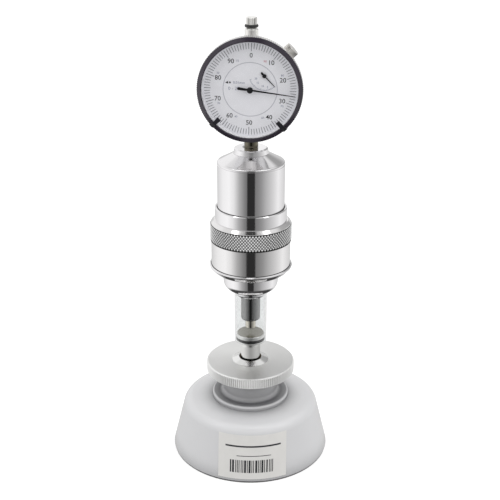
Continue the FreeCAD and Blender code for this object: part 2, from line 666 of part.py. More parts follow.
def lead_nut():
    """Brass nut: flange and thread in the wheel, neck in the tower."""
    flange_top = NUT_FOOT + NUT_FLANGE_T
    neck_foot = BUSH_TOP + THRUST_GAP
    free_r = POST_R + FREE_GAP
    nut = turned([
        (free_r, neck_foot),
        (NUT_NECK_R, neck_foot),
        (NUT_NECK_R, NUT_FOOT),
        (NUT_FLANGE_R, NUT_FOOT),
        (NUT_FLANGE_R, flange_top),
        (NUT_R, flange_top),
        (NUT_R, NUT_TOP),
        (free_r, NUT_TOP),
        (THREAD_R + RUN_FIT, NUT_THREAD_TOP),
        (THREAD_R + RUN_FIT, NUT_THREAD_FOOT),
        (free_r, NUT_THREAD_FOOT - NUT_CHAMFER),
    ])
    room = rod(NUT_SCREW_R + SEAT_FIT, NUT_FOOT - 1, flange_top + 1, nut_screw_circle())
    head_room = rod(NUT_SCREW_HEAD_R + SEAT_FIT, NUT_FOOT, NUT_FOOT + 0.2 + NUT_SCREW_HEAD_H,
                    nut_screw_circle())
    return nut.cut(around(room, NUT_SCREW_COUNT) + around(head_room, NUT_SCREW_COUNT))


def nut_screws():
    flange_top = NUT_FOOT + NUT_FLANGE_T
    head_top = NUT_FOOT + 0.2 + NUT_SCREW_HEAD_H
    head = rod(NUT_SCREW_HEAD_R, NUT_FOOT + 0.2, head_top, nut_screw_circle())
    screw = head.fuse(rod(NUT_SCREW_R, head_top, flange_top + NUT_SCREW_BITE, nut_screw_circle()))
    return Part.makeCompound(around(screw, NUT_SCREW_COUNT))


def post():
    """Plain post above, screw through the nut, keyed guide below."""
    screw_foot = NUT_THREAD_FOOT - NUT_CHAMFER - POST_TRAVEL
    screw_top = NUT_TOP + POST_TRAVEL
    body = turned([
        (0, POST_FOOT),
        (POST_R - 0.5, POST_FOOT),
        (POST_R, POST_FOOT + 0.5),
        (POST_R, screw_foot),
        (THREAD_R, screw_foot + 0.5),
        (THREAD_R, screw_top - 0.5),
        (POST_R, screw_top),
        (POST_R, PLATFORM_FOOT),
        (PIN_R, PLATFORM_FOOT),
        (PIN_R, PLATFORM_FOOT + PIN_L, 0.4),
        (0, PLATFORM_FOOT + PIN_L),
    ])
    return body.cut(keyway())


def platform():
    return turned([
        (PIN_R + SEAT_FIT, PLATFORM_FOOT),
        (PLATFORM_LIP_R, PLATFORM_FOOT, 0.4),
        (PLATFORM_LIP_R, RING_FOOT),
        (GROOVE_R, RING_FOOT),
        (GROOVE_R, RING_TOP),
        (PLATFORM_R, RING_TOP),
        (PLATFORM_R, PLATFORM_TOP, 0.35),
        (0, PLATFORM_TOP),
        (0, PLATFORM_FOOT + PIN_L + THRUST_GAP),
        (PIN_R + SEAT_FIT, PLATFORM_FOOT + PIN_L + THRUST_GAP),
    ])


def sealing_ring():
    """Rubber ring squeezed flat in its groove, gripping the tube."""
    outer = TUBE_BORE_R - RUN_FIT
    inner = GROOVE_R + SEAT_FIT
    rounding = (outer - inner) * 0.48
    low, high = RING_FOOT + SEAT_FIT, RING_TOP - SEAT_FIT
    return turned([(inner, low), (outer, low, rounding), (outer, high, rounding), (inner, high)])


def guard_tube():
    low = RING_FOOT - TUBE_OVERLAP
    high = CUP_FOOT + TUBE_SEAT - THRUST_GAP
    return turned([
        (TUBE_BORE_R, low, 0.2),
        (TUBE_R, low, 0.3),
        (TUBE_R, high),
        (TUBE_BORE_R, high),
    ])


def nose_cap():
    """Polished cup and flange, with the slot for the tube and the plug for the barrel."""
    slot_in = TUBE_BORE_R - SEAT_FIT
    slot_out = TUBE_R + SEAT_FIT
    plug_r = BARREL_BORE_R - SEAT_FIT
    return turned([
        (ROD_R + 3 * RUN_FIT, NOSE_FOOT),
        (slot_in, NOSE_FOOT, 2.4),
        (slot_in, CUP_FOOT + TUBE_SEAT),
        (slot_out, CUP_FOOT + TUBE_SEAT),
        (slot_out, CUP_FOOT),
        (CUP_R - 0.6, CUP_FOOT + 0.4, 6.0),
        (CUP_R, CUP_TOP, 0.4),
        (FLANGE_R - 2.6, CUP_TOP + 2.1, 2.6),
        (FLANGE_R, FLANGE_TOP - 1.2, 0.5),
        (FLANGE_R, FLANGE_TOP - 0.5),
        (GRIP_R + 0.4, FLANGE_TOP),
        (plug_r, FLANGE_TOP),
        (plug_r, NOSE_TOP),
        (ROD_BUSH_R + SEAT_FIT, NOSE_TOP),
        (ROD_BUSH_R + SEAT_FIT, ROD_BUSH_FOOT),
        (ROD_R + 3 * RUN_FIT, ROD_BUSH_FOOT),
    ])


def rod_bush():
    return ring(ROD_BUSH_R, ROD_R + RUN_FIT, ROD_BUSH_FOOT, NOSE_TOP - RUN_FIT)


def grip_sleeve():
    """Sleeve with the knurled band and the bevel above it."""
    knurl_foot = FLANGE_TOP + GRIP_PLAIN_H
    knurl_top = knurl_foot + KNURL_H
    bore = BARREL_R + SEAT_FIT
    return turned([
        (bore, FLANGE_TOP),
        (GRIP_R, FLANGE_TOP, 0.3),
        (GRIP_R, knurl_foot),
        (KNURL_R, knurl_foot, 0.2),
        (KNURL_R, knurl_top, 0.3),
        (GRIP_TOP_R, GRIP_TOP),
        (bore, GRIP_TOP),
    ])


def lock_collar():
    return turned([
        (BARREL_R + SEAT_FIT, GRIP_TOP),
        (COLLAR_R, GRIP_TOP),
        (COLLAR_R, GRIP_TOP + COLLAR_H, 0.5),
        (BARREL_R + SEAT_FIT, GRIP_TOP + COLLAR_H),
    ])


def barrel():
    return ring(BARREL_R, BARREL_BORE_R, FLANGE_TOP, BARREL_TOP)


def barrel_cap():
    """Plug, grooved rim with a round shoulder, and the polished cone that holds the stem."""
    return turned([
        (STEM_R + SEAT_FIT, BARREL_TOP - CAP_PLUG_L),
        (BARREL_BORE_R - SEAT_FIT, BARREL_TOP - CAP_PLUG_L),
        (BARREL_BORE_R - SEAT_FIT, BARREL_TOP),
        (BARREL_R, BARREL_TOP),
        (BARREL_R, CAP_EDGE),
        (BARREL_R - CAP_GROOVE_DEPTH, CAP_EDGE + CAP_GROOVE_W / 2),
        (BARREL_R, CAP_EDGE + CAP_GROOVE_W),
        (BARREL_R, CAP_SHOULDER, CAP_SHOULDER_ROUND),
        (CONE_FOOT_R, CONE_FOOT),
        (CONE_TOP_R, CONE_TOP),
        (STEM_R + SEAT_FIT, CONE_TOP),
    ])


def clamp_nut():
    return turned([
        (STEM_R + SEAT_FIT, CONE_TOP),
        (CLAMP_NUT_R - 0.3, CONE_TOP),
        (CLAMP_NUT_R, CONE_TOP + 0.3),
        (CLAMP_NUT_R - 0.5, CLAMP_NUT_TOP - 0.6),
        (CLAMP_NUT_R - 1.3, CLAMP_NUT_TOP),
        (STEM_R + 1.1, CLAMP_NUT_TOP),
        (STEM_R + SEAT_FIT, CLAMP_NUT_TOP - 0.8),
    ])


def spring_seat():
    return ring(SEAT_R, ROD_GUIDE_R + SEAT_FIT, NOSE_TOP + THRUST_GAP, SEAT_TOP)


def load_spring():
    """Square-wire coil, ground flat where it meets the seat and the adjuster."""
    low, high = SEAT_TOP + THRUST_GAP, ADJUSTER_FOOT - THRUST_GAP
    half = SPRING_WIRE / 2
    path = Part.makeHelix((high - low) / SPRING_TURNS, high - low, SPRING_R)
    path.translate(Vector(0, 0, low))
    section = Part.makePolygon([
        Vector(SPRING_R - half, 0, low - half),
        Vector(SPRING_R + half, 0, low - half),
        Vector(SPRING_R + half, 0, low + half),
        Vector(SPRING_R - half, 0, low + half),
        Vector(SPRING_R - half, 0, low - half),
    ])
    coil = Part.Wire(path).makePipeShell([section], True, True)
    return coil.common(ring(SPRING_R + 2 * half, SPRING_R - 2 * half, low, high))


def spring_adjuster():
    """Threaded disc that sets the spring, with two spanner slots."""
    disc = ring(BARREL_BORE_R - SEAT_FIT, ROD_GUIDE_R + RUN_FIT, ADJUSTER_FOOT, ADJUSTER_TOP)
    slot = Part.makeBox(6, SLOT_W, 2, Vector(BARREL_BORE_R - 5, -SLOT_W / 2, ADJUSTER_TOP - 2))
    return disc.cut(around(slot, 2))


def press_rod():
    return turned([
        (TIP_STUD_R + SEAT_FIT, ROD_FOOT),
        (ROD_R, ROD_FOOT, ROD_ROUND),
        (ROD_R, NOSE_TOP + THRUST_GAP),
        (ROD_GUIDE_R, NOSE_TOP + THRUST_GAP),
        (ROD_GUIDE_R, ROD_TOP, 0.5),
        (0, ROD_TOP),
        (0, ROD_FOOT + TIP_STUD_L + THRUST_GAP),
        (TIP_STUD_R + SEAT_FIT, ROD_FOOT + TIP_STUD_L + THRUST_GAP),
    ])


def press_tip():
    return turned([
        (0, TIP_FOOT),
        (TIP_R, TIP_FOOT, 0.5),
        (TIP_R, ROD_FOOT),
        (TIP_STUD_R, ROD_FOOT),
        (TIP_STUD_R, ROD_FOOT + TIP_STUD_L),
        (0, ROD_FOOT + TIP_STUD_L),
    ])


def at_lock(shape):
    """Turn a shape drawn along +Z from the dial's centre to point at the bezel lock."""
    placed = shape.copy()
    placed.translate(Vector(0, -LOCK_DEPTH, 0))
    placed.rotate(Vector(0, 0, 0), Vector(0, 1, 0), LOCK_ANGLE)
    placed.translate(Vector(0, 0, DIAL_Z))
    return placed


def lock_boss_top():
    return LOCK_FACE - LOCK_T - LOCK_NECK_L


def dial_case():
    """Drum open at both sides, with the stem boss, the lock boss and the front lip."""
    inner = CASE_R - CASE_WALL
    drum = turned([
        (inner, CASE_BACK),
        (CASE_R, CASE_BACK, 0.5),
        (CASE_R, CASE_FRONT, 0.3),
        (inner - CASE_LIP_W, CASE_FRONT),
        (inner - CASE_LIP_W, CASE_FRONT - CASE_LIP_T),
        (inner, CASE_FRONT - CASE_LIP_T),
    ])
    drum = to_dial(drum)
    core = to_dial(rod(inner, CASE_BACK - 1, CASE_FRONT - CASE_LIP_T))
    stem_boss = rod(CASE_BOSS_R, DIAL_Z - CASE_R - CASE_BOSS_L, DIAL_Z - CASE_R + 2)
    lock_boss = at_lock(rod(LOCK_BOSS_R, CASE_R - 1, lock_boss_top()))
    drum = drum.fuse([stem_boss.cut(core), lock_boss.cut(core)])
    holes = [
        rod(STEM_R + SEAT_FIT, DIAL_Z - CASE_R - CASE_BOSS_L - 1, DIAL_Z - CASE_R + CASE_BOSS_R),
        rod(BUSHING_R + SEAT_FIT, DIAL_Z + CASE_R - CASE_BOSS_R, DIAL_Z + CASE_R + 1),
        at_lock(rod(LOCK_SCREW_R + RUN_FIT, CASE_R - CASE_BOSS_R, LOCK_FACE)),
    ]
    screw_room = rod(COVER_SCREW_R + SEAT_FIT, CASE_BACK - 1, CASE_BACK + LUG_H + 1, COVER_SCREW_CIRCLE)
    lug = rod(LUG_R, CASE_BACK, CASE_BACK + LUG_H, COVER_SCREW_CIRCLE)
    lug = lug.fuse(Part.makeBox(CASE_R - COVER_SCREW_CIRCLE, 2 * LUG_R, LUG_H,
                                Vector(COVER_SCREW_CIRCLE, -LUG_R, CASE_BACK)))
    lug = lug.common(rod(CASE_R - CASE_WALL / 2, CASE_BACK, CASE_BACK + LUG_H))
    drum = drum.fuse([to_dial(copy) for copy in around(lug, COVER_SCREW_COUNT, COVER_SCREW_ANGLE)])
    holes += [to_dial(copy) for copy in around(screw_room, COVER_SCREW_COUNT, COVER_SCREW_ANGLE)]
    return drum.cut(holes)


def rear_cover():
    cover = turned([
        (0, CASE_BACK - COVER_T),
        (COVER_R - 1.2, CASE_BACK - COVER_T, 0.8),
        (COVER_R, CASE_BACK, 0.1),
        (0, CASE_BACK),
    ])
    room = rod(COVER_SCREW_R + SEAT_FIT, CASE_BACK - COVER_T - 1, CASE_BACK + 1, COVER_SCREW_CIRCLE)
    head_room = rod(COVER_SCREW_HEAD_R + SEAT_FIT, CASE_BACK - COVER_T - 1,
                    CASE_BACK - COVER_T + COVER_SCREW_HEAD_H, COVER_SCREW_CIRCLE)
    cuts = room.fuse(head_room)
    return to_dial(cover.cut(around(cuts, COVER_SCREW_COUNT, COVER_SCREW_ANGLE)))


def rear_cover_screws():
    foot = CASE_BACK - COVER_T
    head_top = foot + COVER_SCREW_HEAD_H
    screw = rod(COVER_SCREW_HEAD_R, foot, head_top, COVER_SCREW_CIRCLE)
    screw = screw.cut(Part.makeBox(2 * COVER_SCREW_HEAD_R + 1, 0.5, 0.5,
                                   Vector(COVER_SCREW_CIRCLE - COVER_SCREW_HEAD_R - 0.5, -0.25, foot - 0.1)))
    screw = screw.fuse(rod(COVER_SCREW_R, head_top, CASE_BACK + LUG_H, COVER_SCREW_CIRCLE))
    return Part.makeCompound([to_dial(copy) for copy in around(screw, COVER_SCREW_COUNT, COVER_SCREW_ANGLE)])


def dial_stem():
    return ring(STEM_R, SPINDLE_R + RUN_FIT, STEM_FOOT, STEM_TOP)


def top_bushing():
    """Guide of the spindle in the top of the case."""
    foot = DIAL_Z + CASE_R - CASE_WALL - BUSHING_INTO_CASE
    return turned([
        (SPINDLE_R + RUN_FIT, foot),
        (BUSHING_R, foot),
        (BUSHING_R, BUSHING_TOP, 0.5),
        (SPINDLE_R + RUN_FIT, BUSHING_TOP),
    ])


def spindle():
    """Round spindle with a rack flat on its left side and a threaded neck on top."""
    shoulder = BUSHING_TOP - SPINDLE_NECK_DROP
    body = turned([
        (0, CONTACT_FOOT + CONTACT_L),
        (SPINDLE_R, CONTACT_FOOT + CONTACT_L, 0.4),
        (SPINDLE_R, shoulder, 0.4),
        (SPINDLE_NECK_R, shoulder),
        (SPINDLE_NECK_R, CAP_TOP - CAP_ROOF),
        (0, CAP_TOP - CAP_ROOF),
    ])
    return body.cut(rack_flat())


def rack_flat():
    """Space that the rack leaves beside the first pinion, with one notch for each tooth gap."""
    length = 2 * (ROD_TRAVEL + 3)
    centre = DIAL_Z + FIRST_Z - ROD_TRAVEL / 2
    width = 2 * SPINDLE_R + 2
    return Part.makeBox(SPINDLE_R, width, length,
                        Vector(-SPINDLE_R - RACK_LINE, -width / 2, centre - length / 2))


def contact_point():
    """Hardened button under the spindle, resting on the press rod."""
    return turned([
        (0, CONTACT_FOOT),
        (CONTACT_R, CONTACT_FOOT, 1.0),
        (CONTACT_R, CONTACT_FOOT + CONTACT_L),
        (0, CONTACT_FOOT + CONTACT_L),
    ])


def stop_ring():
    inner = SPINDLE_NECK_R + SEAT_FIT
    return turned([
        (inner, STOP_RING_FOOT),
        (STOP_RING_R, STOP_RING_FOOT, 0.6),
        (STOP_RING_R, CAP_FOOT, 0.6),
        (inner, CAP_FOOT),
    ])


def lifting_cap():
    cap = turned([
        (SPINDLE_NECK_R + SEAT_FIT, CAP_FOOT),
        (CAP_R - 0.2, CAP_FOOT),
        (CAP_R + BLANK, CAP_FOOT + 0.2 + BLANK),
        (CAP_R + BLANK, CAP_TOP - 0.5 - BLANK),
        (CAP_R - 0.5, CAP_TOP),
        (0, CAP_TOP),
        (0, CAP_TOP - CAP_ROOF + THRUST_GAP),
        (SPINDLE_NECK_R + SEAT_FIT, CAP_TOP - CAP_ROOF + THRUST_GAP),
    ])
    return cap.common(ridged(CAP_RIDGE_COUNT, CAP_R, 0.25, CAP_FOOT - 1, CAP_TOP + 1))


def pillar_places():
    """Three places round the dial, clear of the wheels and the spindle."""
    places = []
    for angle in PILLAR_ANGLES:
        turn = math.radians(angle)
        places.append((PILLAR_CIRCLE * math.cos(turn), PILLAR_CIRCLE * math.sin(turn)))
    return places


def front_plate():
    inner = CASE_R - CASE_WALL - SEAT_FIT
    plate = rod(inner, FRONT_PLATE - PLATE_THIN, FRONT_PLATE)
    holes = [rod(ARBOR_R + RUN_FIT, 0, 12, x, z) for x, z in arbor_places()]
    holes += [rod(PILLAR_R * 0.6 + SEAT_FIT, 0, 12, x, z) for x, z in pillar_places()]
    holes += [rod(DIAL_FOOT_R + SEAT_FIT, 0, 12, x, z) for x, z in dial_feet_places()]
    return to_dial(plate.cut(holes))


def arbor_places():
    return [(0, 0), (FIRST_X, FIRST_Z), (SMALL_PIVOT, SMALL_PIVOT), (TAKEUP_X, TAKEUP_Z)]


def dial_feet_places():
    circle = INNER_DIAL_R - DIAL_FOOT_INSET
    turns = [math.radians(angle) for angle in DIAL_FOOT_ANGLES]
    return [(circle * math.cos(turn), circle * math.sin(turn)) for turn in turns]


def bridge_plate():
    """Plate in front of the spindle that carries the back ends of the arbors."""
    plate = rod(PILLAR_CIRCLE + PLATE_EDGE, BRIDGE_FRONT - PLATE_THIN, BRIDGE_FRONT)
    window = rod(BRIDGE_WINDOW_R, 0, 12, PILLAR_CIRCLE - BRIDGE_WINDOW_INSET)
    window.rotate(Vector(0, 0, 0), Vector(0, 0, 1), BRIDGE_WINDOW_ANGLE)
    holes = [rod(ARBOR_R + RUN_FIT, 0, 12, x, z) for x, z in arbor_places()]
    holes += [rod(PILLAR_R * 0.6 + SEAT_FIT, 0, 12, x, z) for x, z in pillar_places()]
    return to_dial(plate.cut(holes + [window]))


def back_plate():
    """Plate behind the spindle that carries the back end of the first arbor."""
    edge = PILLAR_CIRCLE + PLATE_EDGE
    plate = rod(edge, BACK_PLATE - PLATE_THIN, BACK_PLATE)
    plate = plate.cut(Part.makeBox(2 * edge, edge - BACK_PLATE_DROP, PLATE_THIN,
                                   Vector(-edge, -edge, BACK_PLATE - PLATE_THIN)))
    holes = [rod(ARBOR_R + RUN_FIT, -10, 12, FIRST_X, FIRST_Z)]
    holes += [rod(PILLAR_R * 0.6 + SEAT_FIT, -10, 12, x, z) for x, z in pillar_places()]
    return to_dial(plate.cut(holes))


def pillars():
    """Stepped pillars that space the three plates."""
    solids = []
    for x, z in pillar_places():
        back = BACK_PLATE if z > -BACK_PLATE_DROP else BRIDGE_FRONT - PLATE_THIN
        waist = PILLAR_R * 0.6
        solid = rod(waist, back - (PLATE_THIN if back == BACK_PLATE else 0), FRONT_PLATE, x, z)
        front = ring(PILLAR_R, waist * 0.5, BRIDGE_FRONT, FRONT_PLATE - PLATE_THIN, x, z)
        solid = solid.fuse(front)
        if back == BACK_PLATE:
            solid = solid.fuse(ring(PILLAR_R, waist * 0.5, back, BRIDGE_FRONT - PLATE_THIN, x, z))
        solids.append(to_dial(solid))
    return Part.makeCompound(solids)


def wheel_disc(radius, back, x, z, spokes=3):
    """Thin toothed wheel at its pitch circle, with round windows between the spokes."""
    disc = rod(radius - PITCH_GAP, back, back + WHEEL_T, x, z)
    windows = []
    for i in range(spokes):
        turn = math.radians(360 * i / spokes + 20)
        windows.append(rod(radius * 0.26, back - 1, back + WHEEL_T + 1,
                           x + radius * 0.58 * math.cos(turn), z + radius * 0.58 * math.sin(turn)))
    return disc.cut(windows)


def first_wheel():
    """Arbor with the rack pinion, the large wheel and the counter gear."""
    arbor = rod(ARBOR_R, BACK_PLATE - PLATE_THIN, FRONT_PLATE, FIRST_X, FIRST_Z)
    pinion = rod(FIRST_PINION_R - PITCH_GAP, -FIRST_PINION_L / 2, FIRST_PINION_L / 2, FIRST_X, FIRST_Z)
    wheel = wheel_disc(WHEEL_PITCH_R, TRAIN_LAYER, FIRST_X, FIRST_Z)
    gear = wheel_disc(SMALL_GEAR_R, SMALL_GEAR_LAYER, FIRST_X, FIRST_Z)
    return to_dial(arbor.fuse([pinion, wheel, gear]))


def centre_pinion():
    arbor = rod(ARBOR_R, BRIDGE_FRONT - PLATE_THIN, HAND_LAYER + HAND_T + 0.3)
    pinion = rod(CENTRE_PINION_R - PITCH_GAP, TRAIN_LAYER - PINION_END,
                 TRAIN_LAYER + WHEEL_T + PINION_END)
    return to_dial(arbor.fuse(pinion))


def counter_gear():
    top = SMALL_HAND_LAYER + HAND_T + 0.2
    arbor = rod(ARBOR_R, BRIDGE_FRONT - PLATE_THIN, top, SMALL_PIVOT, SMALL_PIVOT)
    return to_dial(arbor.fuse(wheel_disc(SMALL_GEAR_R, SMALL_GEAR_LAYER, SMALL_PIVOT, SMALL_PIVOT)))


def takeup_wheel():
    arbor = rod(ARBOR_R, BRIDGE_FRONT - PLATE_THIN, FRONT_PLATE, TAKEUP_X, TAKEUP_Z)
    wheel = wheel_disc(WHEEL_PITCH_R, TRAIN_LAYER, TAKEUP_X, TAKEUP_Z)
    collet = rod(COLLET_R, TRAIN_LAYER + WHEEL_T, SMALL_GEAR_LAYER + HAIRSPRING_W, TAKEUP_X, TAKEUP_Z)
    return to_dial(arbor.fuse([wheel, collet]))


def hairspring():
    """Flat spiral made of half turns, from the collet outwards."""
    back = SMALL_GEAR_LAYER
    inner_edges, outer_edges = [], []
    radius, middle_x, side = COLLET_R + SEAT_FIT, 0.0, 1
    for i in range(HAIRSPRING_HALF_COUNT):
        for edges, r in ((inner_edges, radius), (outer_edges, radius + HAIRSPRING_T)):
            start = Vector(middle_x + side * r, 0, 0)
            end = Vector(middle_x - side * r, 0, 0)
            edges.append(Part.Arc(start, Vector(middle_x, side * r, 0), end).toShape())
        middle_x += side * HAIRSPRING_PITCH / 2
        radius += HAIRSPRING_PITCH / 2
        side = -side
    first = Part.LineSegment(inner_edges[0].Vertexes[0].Point, outer_edges[0].Vertexes[0].Point)
    last = Part.LineSegment(inner_edges[-1].Vertexes[-1].Point, outer_edges[-1].Vertexes[-1].Point)
    edges = Part.__sortEdges__(inner_edges + outer_edges + [first.toShape(), last.toShape()])
    strip = Part.Face(Part.Wire(edges)).extrude(Vector(0, 0, HAIRSPRING_W))
    strip.translate(Vector(TAKEUP_X, TAKEUP_Z, back))
    return to_dial(strip)


def inner_dial():
    """Fixed middle disc of the dial on two feet."""
    back = DIAL_FACE - DIAL_T
    disc = rod(INNER_DIAL_R, back, DIAL_FACE)
    holes = [rod(ARBOR_R + FREE_GAP, 0, 20, x, z) for x, z in ((0, 0), (SMALL_PIVOT, SMALL_PIVOT))]
    disc = disc.cut(holes)
    feet = [rod(DIAL_FOOT_R, FRONT_PLATE - PLATE_THIN, back, x, z) for x, z in dial_feet_places()]
    return to_dial(disc.fuse(feet))


def outer_dial():
    back = DIAL_FACE - DIAL_T
    return to_dial(ring(CRYSTAL_R - SEAT_FIT, INNER_DIAL_R + DIAL_SPLIT, back, DIAL_FACE))


def bezel_ring():
    """Ridged rim with a sloping front that frames the dial."""
    rim_front = BEZEL_FRONT - BEZEL_SLOPE_H
    seat_r = CRYSTAL_R + SEAT_FIT
    skirt_top = DIAL_FACE - DIAL_T
    body = turned([
        (CASE_R + FREE_GAP, BEZEL_BACK),
        (BEZEL_R - 0.5, BEZEL_BACK),
        (BEZEL_R + BLANK, BEZEL_BACK + 0.5 + BLANK),
        (BEZEL_R + BLANK, rim_front),
        (BEZEL_OPEN_R + 0.3, BEZEL_FRONT, 0.4),
        (BEZEL_OPEN_R, BEZEL_FRONT - LIP_T),
        (seat_r, BEZEL_FRONT - LIP_T),
        (seat_r, skirt_top),
        (CASE_R + FREE_GAP, skirt_top),
    ])
    body = body.common(ridged(BEZEL_RIDGE_COUNT, BEZEL_R, RIDGE_DEPTH, BEZEL_BACK - 1, BEZEL_FRONT + 1))
    return to_dial(body)


def crystal():
    front = BEZEL_FRONT - LIP_T
    return to_dial(turned([
        (0, front - CRYSTAL_T),
        (CRYSTAL_R, front - CRYSTAL_T),
        (CRYSTAL_R, front),
        (0, front),
    ]))


def dial_spacer():
    """Ring inside the bezel that holds the crystal off the outer dial."""
    return to_dial(ring(CRYSTAL_R, BEZEL_OPEN_R, DIAL_FACE, BEZEL_FRONT - LIP_T - CRYSTAL_T))


def pointer(length, tail, root_w, tail_w, layer, hub_r, hub_top, angle, x=0, z=0):
    """Tapered hand with a round hub and a widening tail, at an angle read clockwise from the top."""
    right_side = [
        (HAND_TIP_W / 2, length),
        (root_w / 2, 0),
        (tail_w / 2, tail_w * 0.6 - tail),
        (tail_w / 4, -tail),
    ]
    left_side = [(-half, along) for half, along in reversed(right_side)]
    corners = [Vector(half, along, layer) for half, along in right_side + left_side]
    blade = Part.Face(Part.makePolygon(corners + corners[:1])).extrude(Vector(0, 0, HAND_T))
    hub = rod(hub_r, layer - 0.1, hub_top)
    hand = blade.fuse(hub).cut(rod(ARBOR_R + SEAT_FIT, layer - 1, hub_top - 0.3))
    hand = clockwise(hand, angle)
    hand.translate(Vector(x, z, 0))
    return to_dial(hand)


def main_hand():
    return pointer(HAND_L, HAND_TAIL, HAND_ROOT_W, HAND_TAIL_W, HAND_LAYER, HAND_HUB_R,
                   HUB_FRONT, HAND_ANGLE)


def small_hand():
    hub_front = SMALL_HAND_LAYER + HAND_T + SMALL_HUB_H
    return pointer(SMALL_HAND_L, SMALL_HAND_TAIL, SMALL_ROOT_W, SMALL_TAIL_W, SMALL_HAND_LAYER,
                   SMALL_HUB_R, hub_front, SMALL_HAND_ANGLE, SMALL_PIVOT, SMALL_PIVOT)


def limit_marker(angle):
    """Spring clip over the bezel's rim with a pointer in front of the crystal."""
    front = BEZEL_FRONT + THRUST_GAP
    rim_front = BEZEL_FRONT - BEZEL_SLOPE_H
    inner = BEZEL_R + RUN_FIT
    outer = inner + MARKER_LEG_T
    section = outline([
        (MARKER_REACH, front),
        (BEZEL_OPEN_R + 0.6, front),
        (inner, rim_front + THRUST_GAP),
        (inner, rim_front - MARKER_LEG_L),
        (outer, rim_front - MARKER_LEG_L),
        (outer, rim_front + 0.4, 0.3),
        (BEZEL_OPEN_R + 1.0, front + MARKER_T, 0.6),
        (MARKER_REACH, front + MARKER_T, 0.2),
    ])
    clip = Part.Face(section).extrude(Vector(0, MARKER_W, 0))
    clip.translate(Vector(0, -MARKER_W / 2, 0))
    clip.rotate(Vector(0, 0, 0), Vector(0, 0, 1), 90)
    return to_dial(clockwise(clip, angle))


def lock_knob():
    """Knurled screw that holds the bezel."""
    low = LOCK_FACE - LOCK_T
    head = turned([
        (0, low),
        (LOCK_R - 0.3, low),
        (LOCK_R + BLANK, low + 0.3 + BLANK),
        (LOCK_R + BLANK, LOCK_FACE - 0.3 - BLANK),
        (LOCK_R - 0.3, LOCK_FACE),
        (0, LOCK_FACE),
    ])
    head = head.common(ridged(LOCK_RIDGE_COUNT, LOCK_R, 0.3, low - 1, LOCK_FACE + 1))
    neck = rod(LOCK_NECK_R, lock_boss_top() + THRUST_GAP, low)
    return at_lock(head.fuse([neck, rod(LOCK_SCREW_R, CASE_R - CASE_WALL, low)]))


PIECES = {
    "base_shell": base_shell,
    "housing": housing,
    "housing_screws": housing_screws,
    "base_plate": base_plate,
    "foot_pad": foot_pad,
    "base_plate_screws": lambda: Part.makeCompound(around(plate_screw(), RIB_COUNT)),
    "guide_bush": guide_bush,
    "guide_key": guide_key,
    "thrust_washer": thrust_washer,
    "retaining_ring": retaining_ring,
    "handwheel": handwheel,
    "lead_nut": lead_nut,
    "nut_screws": nut_screws,
    "post": post,
    "platform": platform,
    "sealing_ring": sealing_ring,
    "guard_tube": guard_tube,
    "nose_cap": nose_cap,
    "rod_bush": rod_bush,
    "grip_sleeve": grip_sleeve,
    "lock_collar": lock_collar,
    "barrel": barrel,
    "barrel_cap": barrel_cap,
    "clamp_nut": clamp_nut,
    "load_spring": load_spring,
    "spring_adjuster": spring_adjuster,
    "spring_seat": spring_seat,
    "press_rod": press_rod,
    "press_tip": press_tip,
    "dial_case": dial_case,
    "rear_cover": rear_cover,
    "rear_cover_screws": rear_cover_screws,
    "dial_stem": dial_stem,
    "top_bushing": top_bushing,
    "spindle": spindle,
    "contact_point": contact_point,
    "stop_ring": stop_ring,
    "lifting_cap": lifting_cap,
    "front_plate": front_plate,
    "bridge_plate": bridge_plate,
    "back_plate": back_plate,
    "plate_pillars": pillars,
    "first_wheel": first_wheel,
    "centre_pinion": centre_pinion,
    "counter_gear": counter_gear,
    "takeup_wheel": takeup_wheel,
    "hairspring": hairspring,
    "inner_dial": inner_dial,
    "outer_dial": outer_dial,
    "bezel_ring": bezel_ring,
    "dial_spacer": dial_spacer,
    "crystal": crystal,
    "main_hand": main_hand,
    "small_hand": small_hand,
    "lock_knob": lock_knob,
}

for name, make in PIECES.items():
    make().exportStep("parts/" + name + ".step")
for name, angle in MARKER_ANGLES.items():
    limit_marker(angle).exportStep("parts/" + name + ".step")
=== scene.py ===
import json
import math
import random

import bmesh
import bpy
from mathutils import Matrix, Vector


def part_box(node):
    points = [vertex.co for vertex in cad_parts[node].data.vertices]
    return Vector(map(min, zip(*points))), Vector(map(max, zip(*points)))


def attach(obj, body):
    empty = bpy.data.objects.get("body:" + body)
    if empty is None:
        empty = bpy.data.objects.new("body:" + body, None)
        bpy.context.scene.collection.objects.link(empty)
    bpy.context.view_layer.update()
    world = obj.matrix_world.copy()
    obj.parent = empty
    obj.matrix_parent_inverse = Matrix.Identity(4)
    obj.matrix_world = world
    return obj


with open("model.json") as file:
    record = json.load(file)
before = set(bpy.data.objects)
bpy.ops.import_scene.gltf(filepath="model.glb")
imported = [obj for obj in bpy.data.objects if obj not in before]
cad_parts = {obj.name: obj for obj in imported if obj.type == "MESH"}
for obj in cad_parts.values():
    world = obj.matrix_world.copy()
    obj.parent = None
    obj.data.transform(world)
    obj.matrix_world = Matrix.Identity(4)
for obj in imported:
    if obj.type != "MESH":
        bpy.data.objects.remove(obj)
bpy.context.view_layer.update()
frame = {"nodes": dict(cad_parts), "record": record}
NODES = frame["nodes"]
MM = 0.001
random.seed(7)

# Places shared with the solids, in millimetres
DIAL_Z = (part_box("crystal")[0].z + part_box("crystal")[1].z) / 2 / MM
DIAL_FACE = -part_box("outer_dial")[0].y / MM
PIVOT = (7.778, 7.778)           # small hand's arbor, from the middle of the dial
PRINT_TURN = 1.6                 # printed scale stands a little clockwise, in degrees
VIEW_TURN = math.radians(3.5)    # camera to the right of the dial's own axis
SHARP_ANGLE = math.radians(32)   # edges that turn by more than this stay sharp

